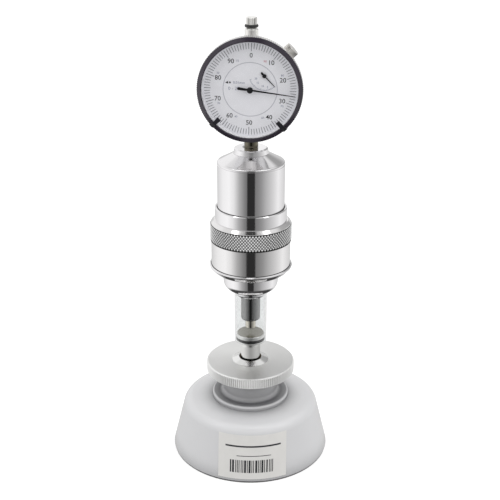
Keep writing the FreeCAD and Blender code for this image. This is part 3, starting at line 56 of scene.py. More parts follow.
# Camera, in metres from the part's upright axis and the floor
LENS = 72.0
SENSOR = 36.0
CLIP_START = 0.01
SHIFT_X = -0.0016
DISTANCE = 0.5525
HEIGHT = 0.3559
LOOK_DOWN = math.radians(22.1)
LEAN = math.radians(0.2)


def make_camera():
    data = bpy.data.cameras.new("camera")
    data.lens = LENS
    data.sensor_width = SENSOR
    data.clip_start = CLIP_START
    data.shift_x = SHIFT_X
    camera = bpy.data.objects.new("camera", data)
    turn = (Matrix.Rotation(VIEW_TURN, 3, "Z") @ Matrix.Rotation(math.pi / 2 - LOOK_DOWN, 3, "X")
            @ Matrix.Rotation(LEAN, 3, "Z"))
    camera.location = (DISTANCE * math.sin(VIEW_TURN), -DISTANCE * math.cos(VIEW_TURN), HEIGHT)
    camera.rotation_euler = turn.to_euler()
    bpy.context.scene.collection.objects.link(camera)
    bpy.context.scene.camera = camera
    bpy.context.scene.view_settings.view_transform = "Standard"


# Node helpers
MIX_FACTOR, MIX_A, MIX_B, MIX_RESULT = 0, 6, 7, 2    # colour sockets of a Mix node


def new_nodes(tree_owner):
    tree_owner.use_nodes = True
    tree = tree_owner.node_tree
    tree.nodes.clear()
    return tree


def node(tree, kind, **settings):
    made = tree.nodes.new(kind)
    for key, value in settings.items():
        setattr(made, key, value)
    return made


def feed(tree, socket, value):
    """Set a socket to a number or a colour, or link another socket to it."""
    if isinstance(value, (int, float)):
        socket.default_value = value
    elif isinstance(value, tuple):
        socket.default_value = (*value, 1)
    else:
        tree.links.new(value, socket)


def math_node(tree, operation, *values):
    made = node(tree, "ShaderNodeMath", operation=operation)
    for socket, value in zip(made.inputs, values):
        feed(tree, socket, value)
    return made.outputs[0]


def scale_add(tree, value, scale, offset):
    return math_node(tree, "ADD", math_node(tree, "MULTIPLY", value, scale), offset)


def ramp(tree, factor, stops):
    """Colour ramp through (place, grey or colour) stops."""
    made = node(tree, "ShaderNodeValToRGB")
    elements = made.color_ramp.elements
    while len(elements) < len(stops):
        elements.new(0.5)
    for element, (place, color) in zip(elements, stops):
        element.position = place
        element.color = (*color, 1) if isinstance(color, tuple) else (color, color, color, 1)
    tree.links.new(factor, made.inputs[0])
    return made.outputs[0]


def mix_color(tree, factor, a, b, blend="MIX"):
    made = node(tree, "ShaderNodeMix", data_type="RGBA", blend_type=blend)
    for place, value in ((MIX_FACTOR, factor), (MIX_A, a), (MIX_B, b)):
        feed(tree, made.inputs[place], value)
    return made.outputs[MIX_RESULT]


def mix_shader(tree, factor, a, b):
    made = node(tree, "ShaderNodeMixShader")
    for socket, value in zip(made.inputs, (factor, a, b)):
        tree.links.new(value, socket)
    return made.outputs[0]


def seen_rays(tree, path):
    """1 on rays from the camera, also through something clear."""
    return math_node(tree, "MAXIMUM", path.outputs["Is Camera Ray"], path.outputs["Is Transmission Ray"])


# World: even light for the surfaces, and a studio of pale panels with dark gaps for the metal
def at(degrees):
    """Place on a ramp that runs once round the part, from the back over the left to the front."""
    return 0.5 + degrees / 360


LOW_WALLS = [
    (0.0, 0.62), (at(-150), 0.72), (at(-110), 0.96), (at(-80), 1.02), (at(-60), 0.86), (at(-40), 0.47),
    (at(-20), 0.23), (at(-13.2), 0.19), (at(-12.4), 0.028), (at(12.8), 0.028), (at(13.8), 0.20),
    (at(22), 0.24), (at(35), 0.32), (at(53), 0.50), (at(80), 0.72), (at(105), 0.95), (at(140), 0.76),
    (1.0, 0.58),
]
HIGH_WALLS = [
    (0.0, 0.88), (at(-160), 0.95), (at(-110), 0.92), (at(-60), 0.70), (at(0), 0.36), (at(60), 0.50),
    (at(110), 0.48), (at(155), 0.36), (1.0, 1.0),
]
CEILING = [    # from left to right
    (0.0, 0.80), (0.30, 0.80), (0.40, 0.42), (0.43, 0.05), (0.57, 0.05), (0.60, 0.45), (0.70, 0.80),
    (1.0, 0.85),
]
STRIP = [(0.0, 0.0), (0.39, 0.0), (0.41, 1.0), (0.44, 1.0), (0.46, 0.0), (1.0, 0.0)]    # front to back
STRIP_LIGHT = (3.4, 3.4, 3.4)                # lamp overhead, a little to the front
EVEN_LIGHT = [(0.0, 0.5), (0.5, 0.95), (0.8, 1.0), (1.0, 1.0)]
WHITE = (1.0, 1.0, 1.0)
GROUND = (0.06, 0.06, 0.06)
GROUND_EDGE = [(0.13, 1.0), (0.20, 0.0)]     # ground below, walls above
HIGH_WALL_EDGE = [(0.05, 0.0), (0.14, 1.0)]
CEILING_EDGE = [(0.60, 0.0), (0.72, 1.0)]


def background(tree, color):
    made = node(tree, "ShaderNodeBackground")
    feed(tree, made.inputs[0], color)
    return made.outputs[0]


def make_world():
    world = bpy.data.worlds.new("studio")
    bpy.context.scene.world = world
    tree = new_nodes(world)
    place = node(tree, "ShaderNodeTexCoord")
    turned = node(tree, "ShaderNodeVectorRotate", rotation_type="Z_AXIS")
    turned.inputs["Angle"].default_value = -VIEW_TURN
    tree.links.new(place.outputs["Generated"], turned.inputs["Vector"])
    split = node(tree, "ShaderNodeSeparateXYZ")
    tree.links.new(turned.outputs[0], split.inputs[0])
    x, y, z = split.outputs
    turn = math_node(tree, "ARCTAN2", x, math_node(tree, "MULTIPLY", y, -1.0))
    around = math_node(tree, "ADD", math_node(tree, "DIVIDE", turn, 2 * math.pi), 0.5)
    across, along, half_up = (scale_add(tree, value, 0.5, 0.5) for value in (x, y, z))
    walls = mix_color(tree, ramp(tree, z, HIGH_WALL_EDGE),
                      ramp(tree, around, LOW_WALLS), ramp(tree, around, HIGH_WALLS))
    walls = mix_color(tree, ramp(tree, half_up, GROUND_EDGE), walls, GROUND)
    ceiling = mix_color(tree, ramp(tree, along, STRIP), ramp(tree, across, CEILING), STRIP_LIGHT)
    studio = mix_color(tree, ramp(tree, z, CEILING_EDGE), walls, ceiling)
    path = node(tree, "ShaderNodeLightPath")
    lit = mix_shader(tree, path.outputs["Is Glossy Ray"],
                     background(tree, ramp(tree, half_up, EVEN_LIGHT)), background(tree, studio))
    whole = mix_shader(tree, seen_rays(tree, path), lit, background(tree, WHITE))
    out = node(tree, "ShaderNodeOutputWorld")
    tree.links.new(whole, out.inputs[0])


LAMPS = (    # name, place, target, size and power
    ("left", (-0.50, -0.20, 0.60), (0, 0, 0.10), (0.5, 0.5), 0.8),
    ("right", (0.50, -0.20, 0.45), (0, 0, 0.08), (0.4, 0.6), 0.7),
    ("top", (0.0, 0.05, 0.85), (0, 0, 0.03), (0.5, 0.3), 1.2),
)


def make_lights():
    for name, place, target, size, power in LAMPS:
        data = bpy.data.lights.new(name, "AREA")
        data.shape = "RECTANGLE"
        data.size, data.size_y = size
        data.energy = power
        lamp = bpy.data.objects.new(name, data)
        lamp.location = place
        lamp.rotation_euler = (Vector(target) - Vector(place)).to_track_quat("-Z", "Y").to_euler()
        lamp.visible_glossy = False
        lamp.visible_camera = False
        lamp.visible_transmission = False
        bpy.context.scene.collection.objects.link(lamp)


FLOOR_REACH = 6.0    # metres each way
FLOOR_GREY = (0.50, 0.50, 0.50)
FLOOR_GLOW = 0.62    # keeps the floor as pale as the walls where it is seen


def make_floor():
    mesh = bpy.data.meshes.new("floor")
    corners = [(x * FLOOR_REACH, y * FLOOR_REACH, 0) for x, y in ((-1, -1), (1, -1), (1, 1), (-1, 1))]
    mesh.from_pydata(corners, [], [(0, 1, 2, 3)])
    floor = bpy.data.objects.new("floor", mesh)
    bpy.context.scene.collection.objects.link(floor)
    material = bpy.data.materials.new("floor_white")
    tree = new_nodes(material)
    matt = node(tree, "ShaderNodeBsdfDiffuse")
    feed(tree, matt.inputs[0], FLOOR_GREY)
    glow = node(tree, "ShaderNodeEmission")
    seen = seen_rays(tree, node(tree, "ShaderNodeLightPath"))
    tree.links.new(math_node(tree, "MULTIPLY", seen, FLOOR_GLOW), glow.inputs[1])
    both = node(tree, "ShaderNodeAddShader")
    tree.links.new(matt.outputs[0], both.inputs[0])
    tree.links.new(glow.outputs[0], both.inputs[1])
    out = node(tree, "ShaderNodeOutputMaterial")
    tree.links.new(both.outputs[0], out.inputs[0])
    mesh.materials.append(material)
    floor.visible_glossy = False


# Material helpers
NOISE_LOW, NOISE_HIGH = 0.3, 0.7    # most of the noise lies between these
MARK_DEPTH = 0.02 * MM              # turning marks
CHROME_PITCH = 0.22 * MM
SPUN_PITCH = 0.25 * MM
FACED_PITCH = 0.3 * MM


def scaled(color, share):
    return tuple(c * share for c in color)


def principled(name, color, roughness, metallic=0.0, **inputs):
    material = bpy.data.materials.new(name)
    tree = new_nodes(material)
    shader = node(tree, "ShaderNodeBsdfPrincipled")
    shader.inputs["Base Color"].default_value = (*color, 1)
    shader.inputs["Roughness"].default_value = roughness
    shader.inputs["Metallic"].default_value = metallic
    for key, value in inputs.items():
        shader.inputs[key.replace("_", " ")].default_value = value
    out = node(tree, "ShaderNodeOutputMaterial")
    tree.links.new(shader.outputs[0], out.inputs[0])
    return material, tree, shader


def noise(tree, scale, detail, stretch=(1, 1, 1)):
    place = node(tree, "ShaderNodeTexCoord")
    mapping = node(tree, "ShaderNodeMapping")
    mapping.inputs["Scale"].default_value = stretch
    tree.links.new(place.outputs["Object"], mapping.inputs[0])
    made = node(tree, "ShaderNodeTexNoise")
    made.inputs["Scale"].default_value = scale
    made.inputs["Detail"].default_value = detail
    tree.links.new(mapping.outputs[0], made.inputs["Vector"])
    return made.outputs[0]


def vary(tree, factor, low, high, socket):
    """Let a number wander between low and high with the noise."""
    spread = node(tree, "ShaderNodeMapRange")
    spread.inputs["From Min"].default_value = NOISE_LOW
    spread.inputs["From Max"].default_value = NOISE_HIGH
    spread.inputs["To Min"].default_value = low
    spread.inputs["To Max"].default_value = high
    tree.links.new(factor, spread.inputs[0])
    tree.links.new(spread.outputs[0], socket)


def tinted(tree, factor, low, high):
    """Colour that wanders between low and high with the noise."""
    return ramp(tree, factor, [(NOISE_LOW, low), (NOISE_HIGH, high)])


def uneven(tree, shader, color, roughness, tone, polish):
    """Uneven colour and roughness: noise scale, detail, lowest and highest share of each."""
    scale, detail, low, high = tone
    shade = tinted(tree, noise(tree, scale, detail), scaled(color, low), scaled(color, high))
    tree.links.new(shade, shader.inputs["Base Color"])
    scale, detail, low, high = polish
    vary(tree, noise(tree, scale, detail), roughness * low, roughness * high, shader.inputs["Roughness"])


def bump(tree, shader, height, strength, distance):
    made = node(tree, "ShaderNodeBump")
    made.inputs["Strength"].default_value = strength
    made.inputs["Distance"].default_value = distance
    tree.links.new(height, made.inputs["Height"])
    tree.links.new(made.outputs[0], shader.inputs["Normal"])
    return made


def split_place(tree):
    """The point's x, y and z in the part's own frame, in metres."""
    place = node(tree, "ShaderNodeTexCoord")
    split = node(tree, "ShaderNodeSeparateXYZ")
    tree.links.new(place.outputs["Object"], split.inputs[0])
    return split.outputs


def radius_from_axis(tree, axis="Z"):
    """Distance from the part's upright axis (Z) or from the dial's axis (Y), in metres."""
    x, y, z = split_place(tree)
    other = y if axis == "Z" else math_node(tree, "SUBTRACT", z, DIAL_Z * MM)
    squares = [math_node(tree, "MULTIPLY", value, value) for value in (x, other)]
    return math_node(tree, "SQRT", math_node(tree, "ADD", *squares))


def lathe_marks(tree, shader, pitch, strength, axis="Z", along=False):
    """Fine turning marks: rings on a face, or lines round a side where along is set."""
    travel = split_place(tree)[2] if along else radius_from_axis(tree, axis)
    wave = math_node(tree, "SINE", math_node(tree, "MULTIPLY", travel, 2 * math.pi / pitch))
    height = math_node(tree, "MULTIPLY", wave, noise(tree, 900.0, 2.0))
    return bump(tree, shader, height, strength, MARK_DEPTH)


def stretch_highlight(tree, shader, axis):
    """Turn the stretched highlight round the axis, as on a face that was cut on a lathe."""
    tangent = node(tree, "ShaderNodeTangent", direction_type="RADIAL", axis=axis)
    tree.links.new(tangent.outputs[0], shader.inputs["Tangent"])


# Materials
def chrome(name, color, low, high, marks):
    """Polished metal with smudges, between two roughnesses, and faint lines round it."""
    material, tree, shader = principled(name, color, low, 1.0)
    vary(tree, noise(tree, 60.0, 5.0, (1, 1, 0.5)), low, high, shader.inputs["Roughness"])
    tree.links.new(tinted(tree, noise(tree, 30.0, 3.0), scaled(color, 0.97), color),
                   shader.inputs["Base Color"])
    lathe_marks(tree, shader, CHROME_PITCH, marks, along=True)
    return material


def spun(name, color, roughness, axis="Z"):
    """Metal faced on a lathe: rings under the light and a stretched highlight."""
    material, tree, shader = principled(name, color, roughness, 1.0, Anisotropic=0.6)
    stretch_highlight(tree, shader, axis)
    lathe_marks(tree, shader, SPUN_PITCH, 0.25, axis)
    uneven(tree, shader, color, roughness, (25.0, 3.0, 0.94, 1.0), (80.0, 4.0, 0.85, 1.2))
    return material


WHEEL_SPAN = 30 * MM                      # radius that the wheel's finish is laid out on
WHEEL_FINISH = [(0.0, 0.07), (0.36, 0.07), (0.38, 0.40), (1.0, 0.40)]    # polished boss, satin face
WHEEL_DOME = -0.10                        # slope that the shading adds to the face, outwards
WHEEL_RIM_W = 0.75 * MM
WHEEL_RIM_DULL = -0.38                    # added to the rim's metallic value


def turned_wheel(name, color):
    """Satin face between a polished boss and the brighter fluted rim."""
    material, tree, shader = principled(name, color, 0.3, 1.0, Anisotropic=0.35)
    stretch_highlight(tree, shader, "Z")
    rings = lathe_marks(tree, shader, FACED_PITCH, 0.3)
    radius = radius_from_axis(tree)
    dome = node(tree, "ShaderNodeBump")
    dome.inputs["Distance"].default_value = 1.0
    tree.links.new(math_node(tree, "MULTIPLY", radius, WHEEL_DOME), dome.inputs["Height"])
    tree.links.new(dome.outputs[0], rings.inputs["Normal"])
    finish = ramp(tree, math_node(tree, "MULTIPLY", radius, 1 / WHEEL_SPAN), WHEEL_FINISH)
    smudge = scale_add(tree, noise(tree, 80.0, 4.0), 0.4, 0.8)
    tree.links.new(math_node(tree, "MULTIPLY", finish, smudge), shader.inputs["Roughness"])
    rim = math_node(tree, "GREATER_THAN", radius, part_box("handwheel")[1].x - WHEEL_RIM_W)
    tree.links.new(scale_add(tree, rim, WHEEL_RIM_DULL, 1.0), shader.inputs["Metallic"])
    tree.links.new(tinted(tree, noise(tree, 25.0, 3.0), scaled(color, 0.95), color),
                   shader.inputs["Base Color"])
    return material


TABLE_RIM_W = 0.45 * MM


def turned_table(name, face, edge):
    """Table whose face is coloured dark as a painted reflection, with a brighter and duller edge."""
    material, tree, shader = principled(name, face, 0.12, 1.0)
    lathe_marks(tree, shader, FACED_PITCH, 0.3)
    rim = math_node(tree, "GREATER_THAN", radius_from_axis(tree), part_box("platform")[1].x - TABLE_RIM_W)
    # painted reflection: the face's dark colour stands in for the dark reflection on the turned face
    painted_reflection_face = tinted(tree, noise(tree, 25.0, 3.0), scaled(face, 0.9), face)
    tree.links.new(mix_color(tree, rim, painted_reflection_face, edge), shader.inputs["Base Color"])
    rough = scale_add(tree, noise(tree, 80.0, 4.0), 0.08, scale_add(tree, rim, 0.3, 0.08))
    tree.links.new(rough, shader.inputs["Roughness"])
    return material


BEZEL_FRONT_DEPTH = 1.66 * MM    # black down to here from the front


def bezel_coat(name, black, silver):
    """Black enamel on the sloping front, bare satin metal on the ridged rim behind it."""
    material, tree, shader = principled(name, black, 0.22, 0.0, Coat_Weight=0.35, Coat_Roughness=0.08)
    bare = math_node(tree, "GREATER_THAN", split_place(tree)[1],
                     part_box("bezel_ring")[0].y + BEZEL_FRONT_DEPTH)
    worn = tinted(tree, noise(tree, 90.0, 4.0), black, scaled(black, 1.3))
    tree.links.new(mix_color(tree, bare, worn, silver), shader.inputs["Base Color"])
    tree.links.new(bare, shader.inputs["Metallic"])
    rough = scale_add(tree, noise(tree, 200.0, 3.0), 0.06, scale_add(tree, bare, 0.12, 0.2))
    tree.links.new(rough, shader.inputs["Roughness"])
    lathe_marks(tree, shader, FACED_PITCH, 0.2, "Y")
    return material


RECESS_REACH = 26 * MM    # how far the painted shade in a recess looks for what covers it
# painted shade: the paint's colour goes nearly black where something covers it
RECESS_PAINTED_SHADE = [(0.35, (0.06, 0.06, 0.07)), (0.8, (1.0, 1.0, 1.0))]


def enamel(name, color):
    """Stoved paint, slightly orange-peeled, with painted shade that darkens its colour in recesses."""
    material, tree, shader = principled(name, color, 0.34, 0.0, Coat_Weight=0.5, Coat_Roughness=0.10)
    paint = tinted(tree, noise(tree, 18.0, 4.0), scaled(color, 0.97), color)
    # painted shade: occlusion darkens the paint's colour in recesses, as under the wheel
    recess = node(tree, "ShaderNodeAmbientOcclusion", samples=16)
    recess.inputs["Distance"].default_value = RECESS_REACH
    shade = ramp(tree, recess.outputs["AO"], RECESS_PAINTED_SHADE)
    tree.links.new(mix_color(tree, 1.0, paint, shade, "MULTIPLY"), shader.inputs["Base Color"])
    vary(tree, noise(tree, 120.0, 3.0), 0.30, 0.40, shader.inputs["Roughness"])
    bump(tree, shader, noise(tree, 420.0, 2.0), 0.06, 0.2 * MM)
    return material


def rubber(name, color, roughness):
    material, tree, shader = principled(name, color, roughness)
    uneven(tree, shader, color, roughness, (300.0, 4.0, 1.0, 1.5), (500.0, 3.0, 0.85, 1.15))
    bump(tree, shader, noise(tree, 1500.0, 2.0), 0.15, 0.1 * MM)
    return material


def clear(name, tint, ior):
    """Clear plastic that lets the light through to what it covers."""
    material, tree, shader = principled(name, tint, 0.0, 0.0, Transmission_Weight=1.0, IOR=ior)
    out = shader.outputs[0].links[0].to_node
    vary(tree, noise(tree, 40.0, 3.0), 0.0, 0.02, shader.inputs["Roughness"])
    path = node(tree, "ShaderNodeLightPath")
    through = node(tree, "ShaderNodeBsdfTransparent")
    feed(tree, through.inputs[0], (0.97, 0.97, 0.97))
    light = math_node(tree, "MAXIMUM", path.outputs["Is Shadow Ray"], path.outputs["Is Diffuse Ray"])
    mirrored = math_node(tree, "SUBTRACT", path.outputs["Is Glossy Ray"],
                         path.outputs["Is Transmission Ray"])
    unhindered = math_node(tree, "MAXIMUM", light, mirrored)
    tree.links.new(mix_shader(tree, unhindered, shader.outputs[0], through.outputs[0]), out.inputs[0])
    return material


def print_matt(name, color, roughness):
    material, tree, shader = principled(name, color, roughness)
    uneven(tree, shader, color, roughness, (200.0, 4.0, 0.96, 1.0), (600.0, 2.0, 0.9, 1.1))
    return material


def gloss_black(name, color, roughness):
    material, tree, shader = principled(name, color, roughness, 0.0, Coat_Weight=0.6, Coat_Roughness=0.08)
    uneven(tree, shader, color, roughness, (90.0, 4.0, 1.0, 1.3), (200.0, 3.0, 0.8, 1.2))
    return material


def plain_metal(name, color, roughness=0.25):
    material, tree, shader = principled(name, color, roughness, 1.0)
    uneven(tree, shader, color, roughness, (60.0, 5.0, 0.85, 1.0), (150.0, 4.0, 0.8, 1.3))
    return material


GROOVE_PAINTED_SHADE = [(0.0, 0.02), (0.16, 0.08), (0.36, 1.0), (1.0, 1.0)]    # painted shade, from groove to point


def knurled_metal(valley, depth):
    """Chrome that is bright on the diamonds' points, with painted shade darkening the grooves between them.
    """
    material, tree, shader = principled("knurled_chrome", (0.9, 0.9, 0.9), 0.12, 0.6)
    rise = math_node(tree, "SUBTRACT", radius_from_axis(tree), valley)
    # painted shade: the colour goes nearly black towards the bottom of each groove
    shade = ramp(tree, math_node(tree, "DIVIDE", rise, depth), GROOVE_PAINTED_SHADE)
    tree.links.new(shade, shader.inputs["Base Color"])
    vary(tree, noise(tree, 200.0, 3.0), 0.08, 0.16, shader.inputs["Roughness"])
    return material


MATERIALS = {    # by the solids' material slots
    "base_paint": enamel("base_enamel", (0.62, 0.62, 0.63)),
    "foot_rubber": rubber("foot_rubber", (0.10, 0.10, 0.10), 0.6),
    "zinc_steel": spun("zinc_steel", (0.62, 0.62, 0.60), 0.32),
    "hidden_brass": plain_metal("turned_brass", (0.72, 0.56, 0.26)),
    "wheel_chrome": turned_wheel("spun_wheel", (0.90, 0.90, 0.89)),
    "post_steel": chrome("post_steel", (0.92, 0.92, 0.91), 0.02, 0.06, 0.08),
    # painted reflection: the table's face is given a dark colour
    "platform_steel": turned_table("turned_table", (0.36, 0.35, 0.31), (0.95, 0.95, 0.94)),
    "seal_rubber": rubber("ring_rubber", (0.006, 0.006, 0.006), 0.6),
    "clear_tube": clear("clear_acrylic", (0.80, 0.81, 0.81), 1.49),
    "chrome": chrome("chrome", (0.90, 0.89, 0.90), 0.02, 0.07, 0.08),
    "grip_chrome": chrome("grip_chrome", (0.88, 0.87, 0.87), 0.05, 0.12, 0.08),
    # painted reflection: the rod's colour is darkened for the dark reflections it shows
    "rod_steel": chrome("rod_steel", (0.36, 0.36, 0.36), 0.04, 0.10, 0.15),
    "tip_steel": chrome("tip_steel", (0.84, 0.80, 0.70), 0.08, 0.18, 0.2),
    "spring_steel": plain_metal("spring_steel", (0.36, 0.36, 0.38), 0.3),
    "case_satin": spun("case_satin", (0.78, 0.78, 0.79), 0.25, "Y"),
    "bezel_black": bezel_coat("bezel_black", (0.022, 0.017, 0.027), (0.86, 0.85, 0.85)),
    "dial_white": print_matt("dial_white", (0.88, 0.88, 0.92), 0.5),
    "crystal": clear("crystal", (1.0, 1.0, 1.0), 1.42),
    "hand_black": gloss_black("hand_black", (0.012, 0.012, 0.014), 0.3),
    "marker_black": gloss_black("marker_black", (0.014, 0.013, 0.018), 0.35),
    "knob_metal": spun("knob_metal", (0.90, 0.88, 0.84), 0.26),
    "stop_black": rubber("stop_black", (0.02, 0.02, 0.02), 0.45),
    "cap_metal": chrome("cap_metal", (0.94, 0.93, 0.90), 0.24, 0.34, 0.1),
    "case_screw_steel": plain_metal("case_screw_steel", (0.5, 0.5, 0.5)),
    "movement_brass": plain_metal("movement_brass", (0.74, 0.60, 0.32)),
    "arbor_steel": plain_metal("arbor_steel", (0.6, 0.6, 0.6)),
}
OWN_FINISH = {    # nodes that look different from the rest of their slot; the stem and the lead nut carry painted reflection and painted shade
    # painted reflection: the stem's colour is darkened for the dark bezel it reflects
    "dial_stem": chrome("stem_painted_reflection", (0.17, 0.155, 0.12), 0.04, 0.10, 0.1),
    "dial_spacer": print_matt("spacer_white", (0.80, 0.80, 0.82), 0.4),
    # painted shade: the nut seen in the gap under the wheel is coloured dark
    "lead_nut": plain_metal("brass_painted_shade", (0.16, 0.13, 0.09), 0.4),
}
INK = print_matt("ink", (0.03, 0.03, 0.035), 0.6)
GREY_INK = print_matt("grey_ink", (0.10, 0.10, 0.13), 0.6)
PALE_INK = print_matt("pale_ink", (0.26, 0.28, 0.38), 0.6)
LINE_INK = print_matt("line_ink", (0.55, 0.55, 0.60), 0.6)
RED_INK = print_matt("red_ink", (0.50, 0.10, 0.16), 0.6)
PAPER = print_matt("label_paper", (0.70, 0.69, 0.67), 0.45)


def dress_nodes():
    slots = {part["node"]: part["material_slot"] for part in frame["record"]["subparts"]}
    for name, obj in NODES.items():
        obj.data.materials.clear()
        obj.data.materials.append(OWN_FINISH.get(name, MATERIALS[slots[name]]))
        for polygon in obj.data.polygons:
            polygon.use_smooth = True
        if not obj.data.has_custom_normals:
            obj.data.set_sharp_from_angle(angle=SHARP_ANGLE)


# Mesh helpers, in millimetres
def add_piece(name, verts, faces, material, body, smooth=False):
    mesh = bpy.data.meshes.new(name)
    mesh.from_pydata([tuple(c * MM for c in v) for v in verts], [], faces)
    mesh.update()
    mesh.materials.append(material)
    if smooth:
        for polygon in mesh.polygons:
            polygon.use_smooth = True
        mesh.set_sharp_from_angle(angle=SHARP_ANGLE)
    obj = bpy.data.objects.new(name, mesh)
    bpy.context.scene.collection.objects.link(obj)
    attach(obj, body)


def slabs(name, outlines, levels, place, material, body):
    """Thin closed slabs of ink from flat outlines; place turns (u, v, height) into a point."""
    verts, faces = [], []
    for points in outlines:
        start, count = len(verts), len(points)
        verts += [place(u, v, level) for level in levels for u, v in points]
        faces.append(tuple(start + i for i in reversed(range(count))))
        faces.append(tuple(start + count + i for i in range(count)))
        for i in range(count):
            j = (i + 1) % count
            faces.append((start + i, start + j, start + count + j, start + count + i))
    add_piece(name, verts, faces, material, body)


def ring_point(radius, i, count, z):
    """Point i of count round the part's upright axis."""
    turn = 2 * math.pi * i / count
    return (radius * math.cos(turn), radius * math.sin(turn), z)


def on_dial(u, v, height):
    return (u, -(DIAL_FACE + height), DIAL_Z + v)


def polar(radius, clockwise, centre=(0, 0)):
    turn = math.radians(clockwise)
    return (centre[0] + radius * math.sin(turn), centre[1] + radius * math.cos(turn))


def tick(inner, outer, width, clockwise, centre=(0, 0)):
    """Outline of one dial mark along a radius."""
    turn = math.radians(clockwise)
    side = (math.cos(turn) * width / 2, -math.sin(turn) * width / 2)
    a, b = polar(inner, clockwise, centre), polar(outer, clockwise, centre)
    return [(a[0] - side[0], a[1] - side[1]), (a[0] + side[0], a[1] + side[1]),
            (b[0] + side[0], b[1] + side[1]), (b[0] - side[0], b[1] - side[1])]


def arc_band(radius, width, start, end, steps, centre=(0, 0)):
    """Outlines of a thin ring, as short pieces laid end to end."""
    pieces = []
    for i in range(steps):
        a, b = (start + (end - start) * (i + k) / steps for k in (0, 1))
        pieces.append([polar(radius - width / 2, a, centre), polar(radius - width / 2, b, centre),
                       polar(radius + width / 2, b, centre), polar(radius + width / 2, a, centre)])
    return pieces


GLYPH_HALF = 0.012      # half the thickness of printed numbers
GLYPH_HEIGHT = 0.018    # their middle over the dial


def numbers(name, labels, material, body, bold=0.0):
    """Printed numbers: (text, u, v, size) on the dial, upright."""
    merged = bmesh.new()
    for text, u, v, size in labels:
        curve = bpy.data.curves.new(name, "FONT")
        curve.body = text
        curve.size = size
        curve.align_x = "CENTER"
        curve.align_y = "CENTER"
        curve.extrude = GLYPH_HALF
        curve.offset = bold
        curve.resolution_u = 3
        glyphs = bpy.data.objects.new(name, curve)
        bpy.context.scene.collection.objects.link(glyphs)
        bpy.context.view_layer.update()
        shaped = glyphs.evaluated_get(bpy.context.evaluated_depsgraph_get())
        mesh = bpy.data.meshes.new_from_object(shaped)
        mesh.transform(Matrix.Translation((u, v, 0)))
        merged.from_mesh(mesh)
        bpy.data.objects.remove(glyphs)
        bpy.data.meshes.remove(mesh)
    merged.verts.index_update()
    verts = [on_dial(v.co.x, v.co.y, v.co.z + GLYPH_HEIGHT) for v in merged.verts]
    faces = [tuple(v.index for v in f.verts) for f in merged.faces]
    merged.free()
    add_piece(name, verts, faces, material, body)


# Print on the outer dial, in millimetres and degrees; levels are heights over the dial
MARK_COUNT = 100
MARK_STEP = 360 / MARK_COUNT
MARK_END = 25.4
LONG_MARK, MIDDLE_MARK, SHORT_MARK = 21.0, 21.8, 22.2    # where they start
BOLD_MARK_W, MARK_W = 0.30, 0.26
MARK_LEVELS = (0.005, 0.03)
NUMBER_COUNT = 10
NUMBER_RING = 18.7
NUMBER_SIZE = 3.6
COUNTER_SIZE = 1.7
COUNTER_PLACES = {    # small numbers that count the other way, from the large ones beside them
    1: (-3.3, 0.7), 2: (-0.3, 2.7), 3: (0.0, -2.8), 4: (-3.5, -0.4),
    6: (3.6, -0.5), 7: (0.6, -2.6), 8: (0.0, 2.6), 9: (3.6, 0.3),
}


def make_outer_dial():
    ticks = []
    for i in range(MARK_COUNT):
        start = LONG_MARK if i % 10 == 0 else MIDDLE_MARK if i % 5 == 0 else SHORT_MARK
        width = BOLD_MARK_W if i % 10 == 0 else MARK_W
        ticks.append(tick(start, MARK_END, width, i * MARK_STEP + PRINT_TURN))
    slabs("scale_marks", ticks, MARK_LEVELS, on_dial, GREY_INK, "bezel")
    places = [polar(NUMBER_RING, n * 360 / NUMBER_COUNT + PRINT_TURN) for n in range(NUMBER_COUNT)]
    large = [(str(n * 10), *places[n], NUMBER_SIZE) for n in range(NUMBER_COUNT)]
    numbers("scale_numbers", large, INK, "bezel", bold=0.03)
    small = [(str(100 - n * 10), places[n][0] + du, places[n][1] + dv, COUNTER_SIZE)
             for n, (du, dv) in COUNTER_PLACES.items()]
    numbers("counter_numbers", small[1:], PALE_INK, "bezel")
    numbers("counter_number_red", small[:1], RED_INK, "bezel")


# Print on the inner dial
CIRCLE_W = 0.44
CIRCLE_STEPS = 120
CIRCLE_LEVELS = (0.01, 0.03)
FORCE_RADIUS = 8.2             # arc under the small hand, round its arbor
FORCE_START, FORCE_END = 136, 254
FORCE_W = 0.16
FORCE_STEPS = 30
FORCE_LEVELS = (0.005, 0.02)
FORCE_MARK_COUNT = 21
FORCE_MARK_STEP = 5.9
FORCE_MARK_W = 0.15
LONG_FORCE_MARK, FORCE_MARK = 7.2, 7.6
FORCE_NUMBERS = (("5", 164, 6.4), ("10", 189, 5.8), ("15", 222, 5.4), ("20", 250, 4.9))
FORCE_NUMBER_SIZE = 1.5
RANGE_NUMBERS = [("0.01mm", -6.1, 3.7, 2.0), ("0 - 20", -9.0, 0.4, 2.6)]
RANGE_ARROWS = [
    [(-13.7, 3.8), (-12.1, 4.6), (-12.1, 3.0)],
    [(-11.7, 3.8), (-11.1, 4.5), (-10.5, 3.8), (-11.1, 3.1)],
]


